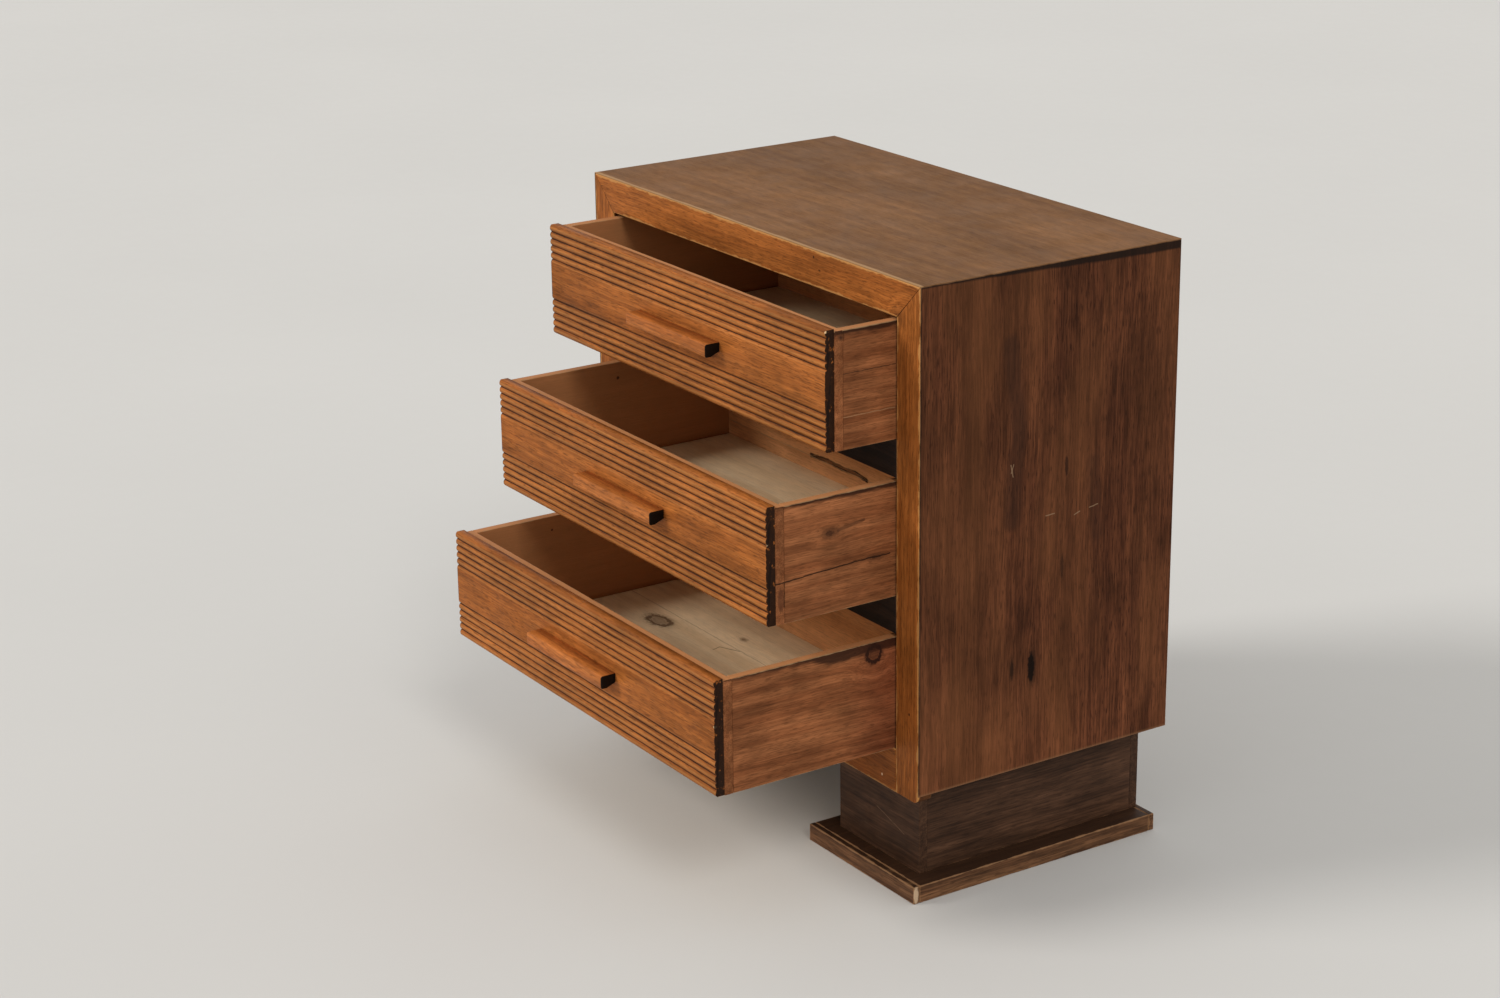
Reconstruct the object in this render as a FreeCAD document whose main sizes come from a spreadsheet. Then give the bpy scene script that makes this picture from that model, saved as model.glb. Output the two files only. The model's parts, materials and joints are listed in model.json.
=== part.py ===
import FreeCAD, Part
import math
import os
import re
import Sketcher

# A small chest of three drawers on two sled feet, in millimetres.
# X runs across the chest, -Y is its front and +Z is up.
# The origin is on the floor, under the middle of the case.

SIZES = {
    # the case, over its veneers
    "case_width": 700,
    "case_depth": 370,
    "case_height": 606,
    "case_board": 20,
    "veneer": 1.2,
    "back_thickness": 5,
    "back_lap": 10,
    "back_play": 0.3,
    # the frame on the front of the case
    "frame_thickness": 20,
    "stile_width": 45,
    "stile_rounding": 10,
    "frame_drop": 10,
    "top_rail_height": 44,
    "rail_height": 45,
    # what carries and guides the drawers
    "runner_width": 40,
    "guide_height": 14,
    "guide_gap": 1.5,
    "running_gap": 0.3,
    "kick_gap": 4,
    "stop_length": 22.7,
    # the drawers
    "side_gap": 2.5,
    "front_gap": 1.2,
    "facing_thickness": 12,
    "box_front_thickness": 12,
    "drawer_side_thickness": 12,
    "drawer_back_thickness": 10,
    "drawer_bottom_thickness": 5,
    "bottom_rise": 7,
    "groove_depth": 5,
    "groove_play": 0.2,
    "reed_pitch": 8.8,
    "reed_radius": 5.2,
    "reed_count": 5,
    # how far each drawer stands out of the case
    "upper_drawer_out": 94,
    "middle_drawer_out": 174,
    "lower_drawer_out": 245,
    # the bar pulls
    "pull_length": 176,
    "pull_height": 16,
    "pull_reach": 20,
    "pull_lip": 8,
    "pull_undercut": 5,
    "pull_rounding": 3,
    # the feet
    "foot_height": 140,
    "foot_plate_thickness": 22,
    "foot_plate_reach": 27,
    "foot_plate_heel": 6,
    "foot_plate_rounding": 3,
    "foot_block_width": 162,
    "foot_block_setback": 35,
    "foot_block_front": 27,
    "foot_block_rear": 12,
    "foot_board": 12,
    "foot_lipping": 8.5,
    # the screws: diameter, spacing, and the length that bites
    "screw_play": 0.05,
    "screw_tip_room": 1,
    "pull_screw": 4,
    "pull_screw_spacing": 110,
    "pull_screw_bite": 10,
    "foot_screw": 5,
    "foot_screw_spacing": 80,
    "plate_screw_spacing": 200,
    "foot_screw_bite": 25,
    "foot_screw_sink": 1,
    "back_screw": 3,
    "back_screw_bite": 14,
}

DRAWERS = ("lower", "middle", "upper")
SIDES = {"left": -1, "right": 1}
SCREWS_PER_BACK_EDGE = 4
OVERCUT = "1"  # how far a cutter runs past the face that it opens

# lengths and places that follow from the sizes above
OPENING_HEIGHT = "((case_height - top_rail_height - 3 * rail_height) / 3)"
OPENING_WIDTH = "(case_width - 2 * stile_width)"
INSIDE_WIDTH = "(case_width - 2 * veneer - 2 * case_board)"
CASE_TOP = "(foot_height + case_height)"
CORE_TOP = "(foot_height + case_height - veneer)"
FRONT = "(-case_depth / 2)"
FRAME_BACK = "(frame_thickness - case_depth / 2)"
BACK = "(case_depth / 2)"
BACK_INSIDE = "(case_depth / 2 - back_thickness)"
FRAME_BOTTOM = "(foot_height - frame_drop)"
INSIDE_DEPTH = f"({BACK_INSIDE} - {FRAME_BACK})"
BACK_HEIGHT = "(case_height - veneer - case_board + back_lap)"
DRAWER_WIDTH = f"({OPENING_WIDTH} - 2 * side_gap)"
DRAWER_DEPTH = "(case_depth - back_thickness - stop_length - running_gap)"
DRAWER_INSIDE = f"({DRAWER_WIDTH} - 2 * drawer_side_thickness)"
BOX_START = "(facing_thickness + box_front_thickness)"
BOX_HEIGHT = f"({OPENING_HEIGHT} - running_gap - kick_gap)"
GROOVE_LEVEL = "(running_gap + bottom_rise)"
FLOOR_LEVEL = f"({GROOVE_LEVEL} + drawer_bottom_thickness)"
FOOT_MIDDLE = "(case_width / 2 - foot_block_setback - foot_block_width / 2)"
BLOCK_FRONT = f"({FRONT} + foot_block_front)"
BLOCK_REAR = f"({BACK} - foot_block_rear)"
BLOCK_HEIGHT = "(foot_height - foot_plate_thickness)"

# turns that lay a rod made along +Z onto another line
ALONG_Z = FreeCAD.Rotation()
DOWN_Z = FreeCAD.Rotation(FreeCAD.Vector(1, 0, 0), 180)
ALONG_Y = FreeCAD.Rotation(FreeCAD.Vector(1, 0, 0), -90)
AGAINST_Y = FreeCAD.Rotation(FreeCAD.Vector(1, 0, 0), 90)

doc = FreeCAD.newDocument("Chest")
sheet = doc.addObject("Spreadsheet::Sheet", "Sizes")
for row, (word, value) in enumerate(SIZES.items(), start=1):
    sheet.set(f"A{row}", word)
    sheet.set(f"B{row}", str(value))
    sheet.setAlias(f"B{row}", word)
doc.recompute()

pieces = []


def formula(text):
    """Gives each size in a formula the name of the sheet that holds it."""
    return re.sub(r"[a-z_]+", lambda word: f"Sizes.{word.group()}", text)


def bind(item, formulas):
    for path, text in formulas.items():
        item.setExpression(path, formula(text))


def place(item, spot):
    bind(item, {f"Placement.Base.{axis}": text for axis, text in zip("xyz", spot)})


def keep(item, name):
    """Adds a finished piece to those that are written out."""
    item.Label = name
    pieces.append(item)
    return item


def block(name, size, corner):
    item = doc.addObject("Part::Box", name)
    bind(item, dict(zip(("Length", "Width", "Height"), size)))
    place(item, corner)
    return item


def rod(name, diameter, length, turn, start):
    item = doc.addObject("Part::Cylinder", name)
    item.Placement = FreeCAD.Placement(FreeCAD.Vector(), turn)
    bind(item, {"Radius": f"({diameter}) / 2", "Height": length})
    place(item, start)
    return item


def group(name, members):
    item = doc.addObject("Part::Compound", name)
    item.Links = members
    return item


def carve(name, blank, cutters):
    item = doc.addObject("Part::Cut", name)
    item.Base = blank
    item.Tool = group(f"{name}_cutters", cutters)
    return item


def board(name, size, corner):
    return keep(block(name, size, corner), name)


def carved_board(name, size, corner, cutters, home=("0", "0", "0")):
    """A board with grooves or holes, cut in the frame whose origin stands at home."""
    item = carve(name, block(f"{name}_blank", size, corner), cutters)
    place(item, home)
    return keep(item, name)


def hole(name, screw, length, turn, start):
    return rod(name, f"{screw} + 2 * screw_play", length, turn, start)


def head_height(diameter):
    return f"(0.6 * {diameter})"


def screw(name, diameter, length, turn, seat):
    """A screw with a flat round head, seated on the point given, its shank along the turned Z."""
    tall = head_height(diameter)
    item = doc.addObject("Part::Fuse", name)
    item.Base = rod(f"{name}_shank", diameter, length, ALONG_Z, ("0", "0", "0"))
    item.Tool = rod(f"{name}_head", f"2 * {diameter}", tall, ALONG_Z, ("0", "0", f"-{tall}"))
    item.Placement = FreeCAD.Placement(FreeCAD.Vector(), turn)
    place(item, seat)
    return item


def origin_plane(body, role):
    return next(plane for plane in body.Origin.OriginFeatures if plane.Role == role)


def new_sketch(body, name, role):
    sketch = body.newObject("Sketcher::SketchObject", name)
    sketch.AttachmentSupport = [(origin_plane(body, role), "")]
    sketch.MapMode = "FlatFace"
    return sketch


def constrain(sketch, text, *terms):
    """Adds a dimension to a sketch and ties it to the sizes."""
    index = sketch.addConstraint(Sketcher.Constraint(*terms))
    sketch.setExpression(f"Constraints[{index}]", formula(text))


def outline(body, name, role, corners):
    """A closed outline of straight lines through corners that the sizes set."""
    sketch = new_sketch(body, name, role)
    count = len(corners)
    around = [2 * math.pi * step / count for step in range(count)]
    points = [FreeCAD.Vector(math.cos(angle), math.sin(angle), 0) for angle in around]
    for step in range(count):
        sketch.addGeometry(Part.LineSegment(points[step], points[(step + 1) % count]))
    for step in range(count):
        sketch.addConstraint(Sketcher.Constraint("Coincident", step, 2, (step + 1) % count, 1))
    for step, (across, up) in enumerate(corners):
        constrain(sketch, across, "DistanceX", -1, 1, step, 1, points[step].x)
        constrain(sketch, up, "DistanceY", -1, 1, step, 1, points[step].y)
    return sketch


def circles(body, name, role, radius, centres):
    sketch = new_sketch(body, name, role)
    for step, (across, up) in enumerate(centres):
        centre = FreeCAD.Vector(step, 0, 0)
        sketch.addGeometry(Part.Circle(centre, FreeCAD.Vector(0, 0, 1), 1))
        constrain(sketch, radius, "Radius", step, 1)
        constrain(sketch, across, "DistanceX", -1, 1, step, 3, centre.x)
        constrain(sketch, up, "DistanceY", -1, 1, step, 3, centre.y)
    return sketch


def pad(body, sketch, length, both_ways=False, reverse=False):
    feature = body.newObject("PartDesign::Pad", f"{sketch.Name}_pad")
    feature.Profile = sketch
    feature.Midplane = both_ways
    feature.Reversed = reverse
    bind(feature, {"Length": length})
    doc.recompute()
    return feature


def pocket(body, sketch, length=None, reverse=False):
    """Cuts a sketch to a depth, or right through both ways where no depth is given."""
    feature = body.newObject("PartDesign::Pocket", f"{sketch.Name}_pocket")
    feature.Profile = sketch
    feature.Reversed = reverse
    if length is None:
        feature.Type = "ThroughAll"
        feature.Midplane = True
    else:
        bind(feature, {"Length": length})
    before = body.Shape.Volume
    doc.recompute()
    if not body.Shape.Volume < before:
        raise RuntimeError(f"{feature.Name} cuts nothing")
    return feature


def round_edges(body, radius, wanted):
    """Rounds the edges of a body whose ends and middle all lie where wanted says."""
    names = []
    for number, edge in enumerate(body.Shape.Edges, start=1):
        points = [vertex.Point for vertex in edge.Vertexes] + [edge.CenterOfMass]
        if all(wanted(point) for point in points):
            names.append(f"Edge{number}")
    base = body.Tip
    feature = body.newObject("PartDesign::Fillet", f"{body.Name}_fillet")
    feature.Base = (base, names)
    bind(feature, {"Radius": radius})
    doc.recompute()


def sill(step):
    """The level of a drawer opening's lower edge, counted from the lowest drawer."""
    return f"(foot_height + rail_height + {step} * ({OPENING_HEIGHT} + rail_height))"


# The case: a veneered box of boards, open at the front.

for side, sign in SIDES.items():
    inner = f"{INSIDE_WIDTH} / 2"
    if sign < 0:
        core_left = f"-{inner} - case_board"
        veneer_left = "-case_width / 2"
        rebate_left = f"-{inner} - back_lap"
    else:
        core_left = inner
        veneer_left = "case_width / 2 - veneer"
        rebate_left = inner
    rebate = block(
        f"{side}_rebate",
        ("back_lap", f"back_thickness + {OVERCUT}", f"case_height + {OVERCUT}"),
        (rebate_left, BACK_INSIDE, f"foot_height - {OVERCUT}"),
    )
    pilots = []
    for step in range(SCREWS_PER_BACK_EDGE):
        level = f"foot_height + ({step} + 0.5) * {BACK_HEIGHT} / {SCREWS_PER_BACK_EDGE}"
        start = (f"{sign} * ({inner} + back_lap / 2)", BACK_INSIDE, level)
        pilots.append(hole(f"{side}_back_pilot_{step}", "back_screw", "back_screw_bite", AGAINST_Y, start))
    carved_board(
        f"{side}_side_panel",
        ("case_board", f"{BACK} - {FRAME_BACK}", "case_height - veneer - case_board"),
        (core_left, FRAME_BACK, "foot_height"),
        [rebate] + pilots,
    )
    board(
        f"{side}_side_veneer",
        ("veneer", "case_depth", "case_height - veneer"),
        (veneer_left, FRONT, "foot_height"),
    )

top_rebate = block(
    "top_rebate",
    (f"{INSIDE_WIDTH} + 2 * back_lap", f"back_thickness + {OVERCUT}", f"back_lap + {OVERCUT}"),
    (f"-{INSIDE_WIDTH} / 2 - back_lap", BACK_INSIDE, f"{CORE_TOP} - case_board - {OVERCUT}"),
)
carved_board(
    "top_panel",
    ("case_width - 2 * veneer", f"{BACK} - {FRAME_BACK}", "case_board"),
    ("veneer - case_width / 2", FRAME_BACK, f"{CORE_TOP} - case_board"),
    [top_rebate],
)
board("top_veneer", ("case_width", "case_depth", "veneer"), ("-case_width / 2", FRONT, CORE_TOP))

case_screw_spots = []
for foot_sign in SIDES.values():
    for end in (f"{BLOCK_FRONT} + foot_board / 2", f"{BLOCK_REAR} - foot_board / 2"):
        for side_sign in SIDES.values():
            across = f"{foot_sign} * {FOOT_MIDDLE} + {side_sign} * foot_screw_spacing / 2"
            case_screw_spots.append((across, end))
bottom_holes = []
for number, (across, along) in enumerate(case_screw_spots):
    start = (across, along, f"foot_height - {OVERCUT}")
    through = f"case_board + 2 * {OVERCUT}"
    bottom_holes.append(hole(f"bottom_hole_{number}", "foot_screw", through, ALONG_Z, start))
carved_board(
    "bottom_panel",
    (INSIDE_WIDTH, INSIDE_DEPTH, "case_board"),
    (f"-{INSIDE_WIDTH} / 2", FRAME_BACK, "foot_height"),
    bottom_holes,
)

# The back board lies in rebates of the sides and top, with its screw heads let in flush.
back_cutters = []
back_screws = []
for side, sign in SIDES.items():
    for step in range(SCREWS_PER_BACK_EDGE):
        across = f"{sign} * ({INSIDE_WIDTH} + back_lap) / 2"
        level = f"foot_height + ({step} + 0.5) * {BACK_HEIGHT} / {SCREWS_PER_BACK_EDGE}"
        seat = f"{BACK} - {head_height('back_screw')}"
        name = f"{side}_back_{step}"
        through = f"back_thickness + 2 * {OVERCUT}"
        start = (across, f"{BACK_INSIDE} - {OVERCUT}", level)
        back_cutters.append(hole(f"{name}_hole", "back_screw", through, ALONG_Y, start))
        sink = f"{head_height('back_screw')} + {OVERCUT}"
        back_cutters.append(hole(f"{name}_sink", "2 * back_screw", sink, ALONG_Y, (across, seat, level)))
        length = f"back_thickness - {head_height('back_screw')} + back_screw_bite - screw_tip_room"
        back_screws.append(screw(f"{name}_screw", "back_screw", length, AGAINST_Y, (across, seat, level)))
carved_board(
    "back_panel",
    (f"{INSIDE_WIDTH} + 2 * back_lap - 2 * back_play", "back_thickness", f"{BACK_HEIGHT} - back_play"),
    (f"back_play - back_lap - {INSIDE_WIDTH} / 2", BACK_INSIDE, "foot_height"),
    back_cutters,
)
keep(group("back_screws", back_screws), "back_screws")

# The front frame: stiles and top rail meet in mitres, and the other rails stand between the stiles.
# It reaches a little below the case, where its outer corners are rounded.
for side, sign in SIDES.items():
    stile = doc.addObject("PartDesign::Body", f"{side}_stile")
    edge = f"{sign} * (stile_width - veneer)"
    shoulder = "frame_drop + case_height - top_rail_height"
    corners = [("0", "0"), (edge, "0"), (edge, "frame_drop + case_height - veneer"), ("0", shoulder)]
    stile_outline = outline(stile, f"{side}_stile_outline", "XZ_Plane", corners)
    pad(stile, stile_outline, "frame_thickness", reverse=True)
    outer = sign * (sheet.stile_width - sheet.veneer)
    round_edges(stile, "stile_rounding", lambda point: abs(point.x - outer) < 0.01 and abs(point.z) < 0.01)
    place(stile, (f"{sign} * {OPENING_WIDTH} / 2", FRONT, FRAME_BOTTOM))
    keep(stile, f"{side}_stile")

top_rail = doc.addObject("PartDesign::Body", "top_rail")
rail_corners = [
    (f"-{OPENING_WIDTH} / 2", "0"),
    (f"{OPENING_WIDTH} / 2", "0"),
    ("case_width / 2 - veneer", "top_rail_height - veneer"),
    ("veneer - case_width / 2", "top_rail_height - veneer"),
]
rail_outline = outline(top_rail, "top_rail_outline", "XZ_Plane", rail_corners)
pad(top_rail, rail_outline, "frame_thickness", reverse=True)
place(top_rail, ("0", FRONT, f"{CASE_TOP} - top_rail_height"))
keep(top_rail, "top_rail")

for step, name in enumerate(("bottom_rail", "lower_drawer_rail", "upper_drawer_rail")):
    height = "rail_height + frame_drop" if step == 0 else "rail_height"
    board(
        name,
        (OPENING_WIDTH, "frame_thickness", height),
        (f"-{OPENING_WIDTH} / 2", FRONT, f"{sill(step)} - ({height})"),
    )

# The runners carry the drawers. Each one is as deep as the rail in front of it, so its underside
# also keeps the drawer below from tipping, as the kickers do over the top drawer.
DRAWER_EDGE = f"({DRAWER_WIDTH} / 2 + guide_gap)"
GUIDE_WIDTH = f"({INSIDE_WIDTH} / 2 - {DRAWER_EDGE})"
STOP_WIDTH = f"(runner_width - {GUIDE_WIDTH})"
STOP_FRONT = f"({BACK_INSIDE} - stop_length)"
guides = []
kickers = []
stops = []
for side, sign in SIDES.items():
    runner_left = f"{INSIDE_WIDTH} / 2 - runner_width"
    guide_left = DRAWER_EDGE
    stop_left = runner_left
    if sign < 0:
        runner_left = f"-{INSIDE_WIDTH} / 2"
        guide_left = runner_left
        stop_left = f"-{DRAWER_EDGE}"
    for step, drawer in enumerate(DRAWERS):
        under = "case_board" if step == 0 else "0"
        height = f"rail_height - {under}"
        corner = (runner_left, FRAME_BACK, f"{sill(step)} - ({height})")
        board(f"{drawer}_{side}_runner", ("runner_width", INSIDE_DEPTH, height), corner)
        guide_size = (GUIDE_WIDTH, INSIDE_DEPTH, "guide_height")
        guides.append(block(f"{drawer}_{side}_guide", guide_size, (guide_left, FRAME_BACK, sill(step))))
        stop_size = (STOP_WIDTH, "stop_length", "guide_height")
        stops.append(block(f"{drawer}_{side}_stop", stop_size, (stop_left, STOP_FRONT, sill(step))))
    kicker_size = ("runner_width", INSIDE_DEPTH, "top_rail_height - veneer - case_board")
    kicker_corner = (runner_left, FRAME_BACK, f"{CASE_TOP} - top_rail_height")
    kickers.append(block(f"{side}_kicker", kicker_size, kicker_corner))
keep(group("drawer_guides", guides), "drawer_guides")
keep(group("top_kickers", kickers), "top_kickers")
keep(group("drawer_stops", stops), "drawer_stops")

# The feet: on each side a hollow block of four boards stands on a wide plate, which has a lipping along
# its front and rear edge. Their frame has its origin on the floor, in line with the middle of the block.
FOOT_SINK = f"(foot_screw_sink + {head_height('foot_screw')})"
PLATE_SIDE = "(foot_block_width / 2 + foot_plate_reach)"
PLATE_FRONT = f"({BLOCK_FRONT} - foot_plate_reach)"
PLATE_REAR = f"({BLOCK_REAR} + foot_plate_heel)"
PLATE_SCREW_LENGTH = f"foot_plate_thickness - {FOOT_SINK} + foot_screw_bite - screw_tip_room"
CASE_SCREW_LENGTH = "case_board + foot_screw_bite - screw_tip_room"
foot_screws = []
lippings = []


def plate_corners(front, rear):
    return [(f"-{PLATE_SIDE}", front), (PLATE_SIDE, front), (PLATE_SIDE, rear), (f"-{PLATE_SIDE}", rear)]


for side, sign in SIDES.items():
    home = (f"{sign} * {FOOT_MIDDLE}", "0", "0")
    depth = f"{BLOCK_REAR} - {BLOCK_FRONT} - 2 * foot_board"
    plate_spots = []
    for hand, hand_sign in SIDES.items():
        across = f"{hand_sign} * (foot_block_width - foot_board) / 2"
        pilots = []
        for end, end_sign in SIDES.items():
            along = f"({BLOCK_FRONT} + {BLOCK_REAR} + {end_sign} * plate_screw_spacing) / 2"
            name = f"{side}_foot_{hand}_{end}"
            spot = (across, along, "foot_plate_thickness")
            pilots.append(hole(f"{name}_pilot", "foot_screw", "foot_screw_bite", ALONG_Z, spot))
            seat = (f"{home[0]} + {across}", along, FOOT_SINK)
            foot_screws.append(screw(f"{name}_screw", "foot_screw", PLATE_SCREW_LENGTH, ALONG_Z, seat))
            plate_spots.append((across, along))
        carved_board(
            f"{side}_foot_{'outer' if hand == side else 'inner'}_board",
            ("foot_board", depth, BLOCK_HEIGHT),
            (f"{across} - foot_board / 2", f"{BLOCK_FRONT} + foot_board", "foot_plate_thickness"),
            pilots,
            home,
        )
    for face, start in (("front", BLOCK_FRONT), ("back", f"({BLOCK_REAR} - foot_board)")):
        pilots = []
        for hand, hand_sign in SIDES.items():
            spot = (f"{hand_sign} * foot_screw_spacing / 2", f"{start} + foot_board / 2", "foot_height")
            name = f"{side}_foot_{face}_{hand}_pilot"
            pilots.append(hole(name, "foot_screw", "foot_screw_bite", DOWN_Z, spot))
        carved_board(
            f"{side}_foot_{face}_board",
            ("foot_block_width", "foot_board", BLOCK_HEIGHT),
            ("-foot_block_width / 2", start, "foot_plate_thickness"),
            pilots,
            home,
        )
    plate = doc.addObject("PartDesign::Body", f"{side}_foot_plate")
    corners = plate_corners(f"{PLATE_FRONT} + foot_lipping", f"{PLATE_REAR} - foot_lipping")
    pad(plate, outline(plate, f"{side}_plate_outline", "XY_Plane", corners), "foot_plate_thickness")
    top_level = sheet.foot_plate_thickness
    reach = sheet.foot_block_width / 2 + sheet.foot_plate_reach

    def on_upper_side(point):
        return abs(point.z - top_level) < 0.01 and abs(abs(point.x) - reach) < 0.01

    round_edges(plate, "foot_plate_rounding", on_upper_side)
    shank_radius = "foot_screw / 2 + screw_play"
    head_radius = "foot_screw + screw_play"
    pocket(plate, circles(plate, f"{side}_plate_holes", "XY_Plane", shank_radius, plate_spots))
    sinks = circles(plate, f"{side}_plate_sinks", "XY_Plane", head_radius, plate_spots)
    pocket(plate, sinks, FOOT_SINK, reverse=True)
    place(plate, home)
    keep(plate, f"{side}_foot_plate")
    for end, near, far in (
        ("front", f"{PLATE_FRONT} + foot_lipping", PLATE_FRONT),
        ("rear", f"{PLATE_REAR} - foot_lipping", PLATE_REAR),
    ):
        lipping = doc.addObject("PartDesign::Body", f"{side}_{end}_lipping")
        strip = outline(lipping, f"{side}_{end}_lipping_outline", "XY_Plane", plate_corners(near, far))
        pad(lipping, strip, "foot_plate_thickness")
        bounds = lipping.Shape.BoundBox
        outer = bounds.YMin if end == "front" else bounds.YMax

        def on_upper_rim(point):
            on_outer_edge = abs(point.z - top_level) < 0.01 and abs(point.y - outer) < 0.01
            return on_outer_edge or on_upper_side(point)

        round_edges(lipping, "foot_plate_rounding", on_upper_rim)
        place(lipping, home)
        lippings.append(lipping)
keep(group("foot_lippings", lippings), "foot_lippings")
for number, (across, along) in enumerate(case_screw_spots):
    seat = (across, along, "foot_height + case_board")
    foot_screws.append(screw(f"foot_case_screw_{number}", "foot_screw", CASE_SCREW_LENGTH, DOWN_Z, seat))
keep(group("foot_screws", foot_screws), "foot_screws")

# The drawers. Their frame has its origin at the middle of the opening's lower edge, in the plane of
# the facing's front, with +Y running into the drawer.
PULL_SPOTS = [f"{sign} * pull_screw_spacing / 2" for sign in SIDES.values()]
PULL_LEVEL = f"({OPENING_HEIGHT} / 2)"


def reed_cut(body, name, first_cusp, toward_top):
    """Cuts a band of reeds: the hollow between two round reeds, repeated up or down the facing."""
    sketch = new_sketch(body, f"{name}_hollow", "YZ_Plane")
    bind(sketch, {"AttachmentOffset.Base.y": first_cusp})
    radius = sheet.reed_radius
    half = sheet.reed_pitch / 2
    swing = math.asin(half / radius)
    flat = FreeCAD.Vector(0, 0, 1)
    lower = Part.Circle(FreeCAD.Vector(radius, -half, 0), flat, radius)
    upper = Part.Circle(FreeCAD.Vector(radius, half, 0), flat, radius)
    sketch.addGeometry(Part.ArcOfCircle(lower, math.pi - swing, math.pi))
    sketch.addGeometry(Part.ArcOfCircle(upper, math.pi, math.pi + swing))
    sketch.addGeometry(Part.LineSegment(FreeCAD.Vector(0, -half, 0), FreeCAD.Vector(0, half, 0)))
    for terms in (
        ("Coincident", 0, 1, 1, 2),
        ("Coincident", 2, 1, 0, 2),
        ("Coincident", 2, 2, 1, 1),
        ("PointOnObject", 2, 1, -2),
        ("PointOnObject", 0, 1, -1),
        ("Vertical", 2),
        ("Horizontal", 0, 3, 0, 2),
        ("Horizontal", 1, 3, 1, 1),
        ("Equal", 0, 1),
    ):
        sketch.addConstraint(Sketcher.Constraint(*terms))
    constrain(sketch, "reed_radius", "Radius", 0, radius)
    constrain(sketch, "reed_pitch", "DistanceY", 2, 1, 2, 2, 2 * half)
    cut = pocket(body, sketch)
    band = body.newObject("PartDesign::LinearPattern", f"{name}_reeds")
    band.Originals = [cut]
    band.Direction = (sketch, ["V_Axis"])
    band.Reversed = not toward_top
    bind(band, {"Length": "reed_pitch * reed_count", "Occurrences": "reed_count + 1"})
    body.Tip = band
    doc.recompute()


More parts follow.
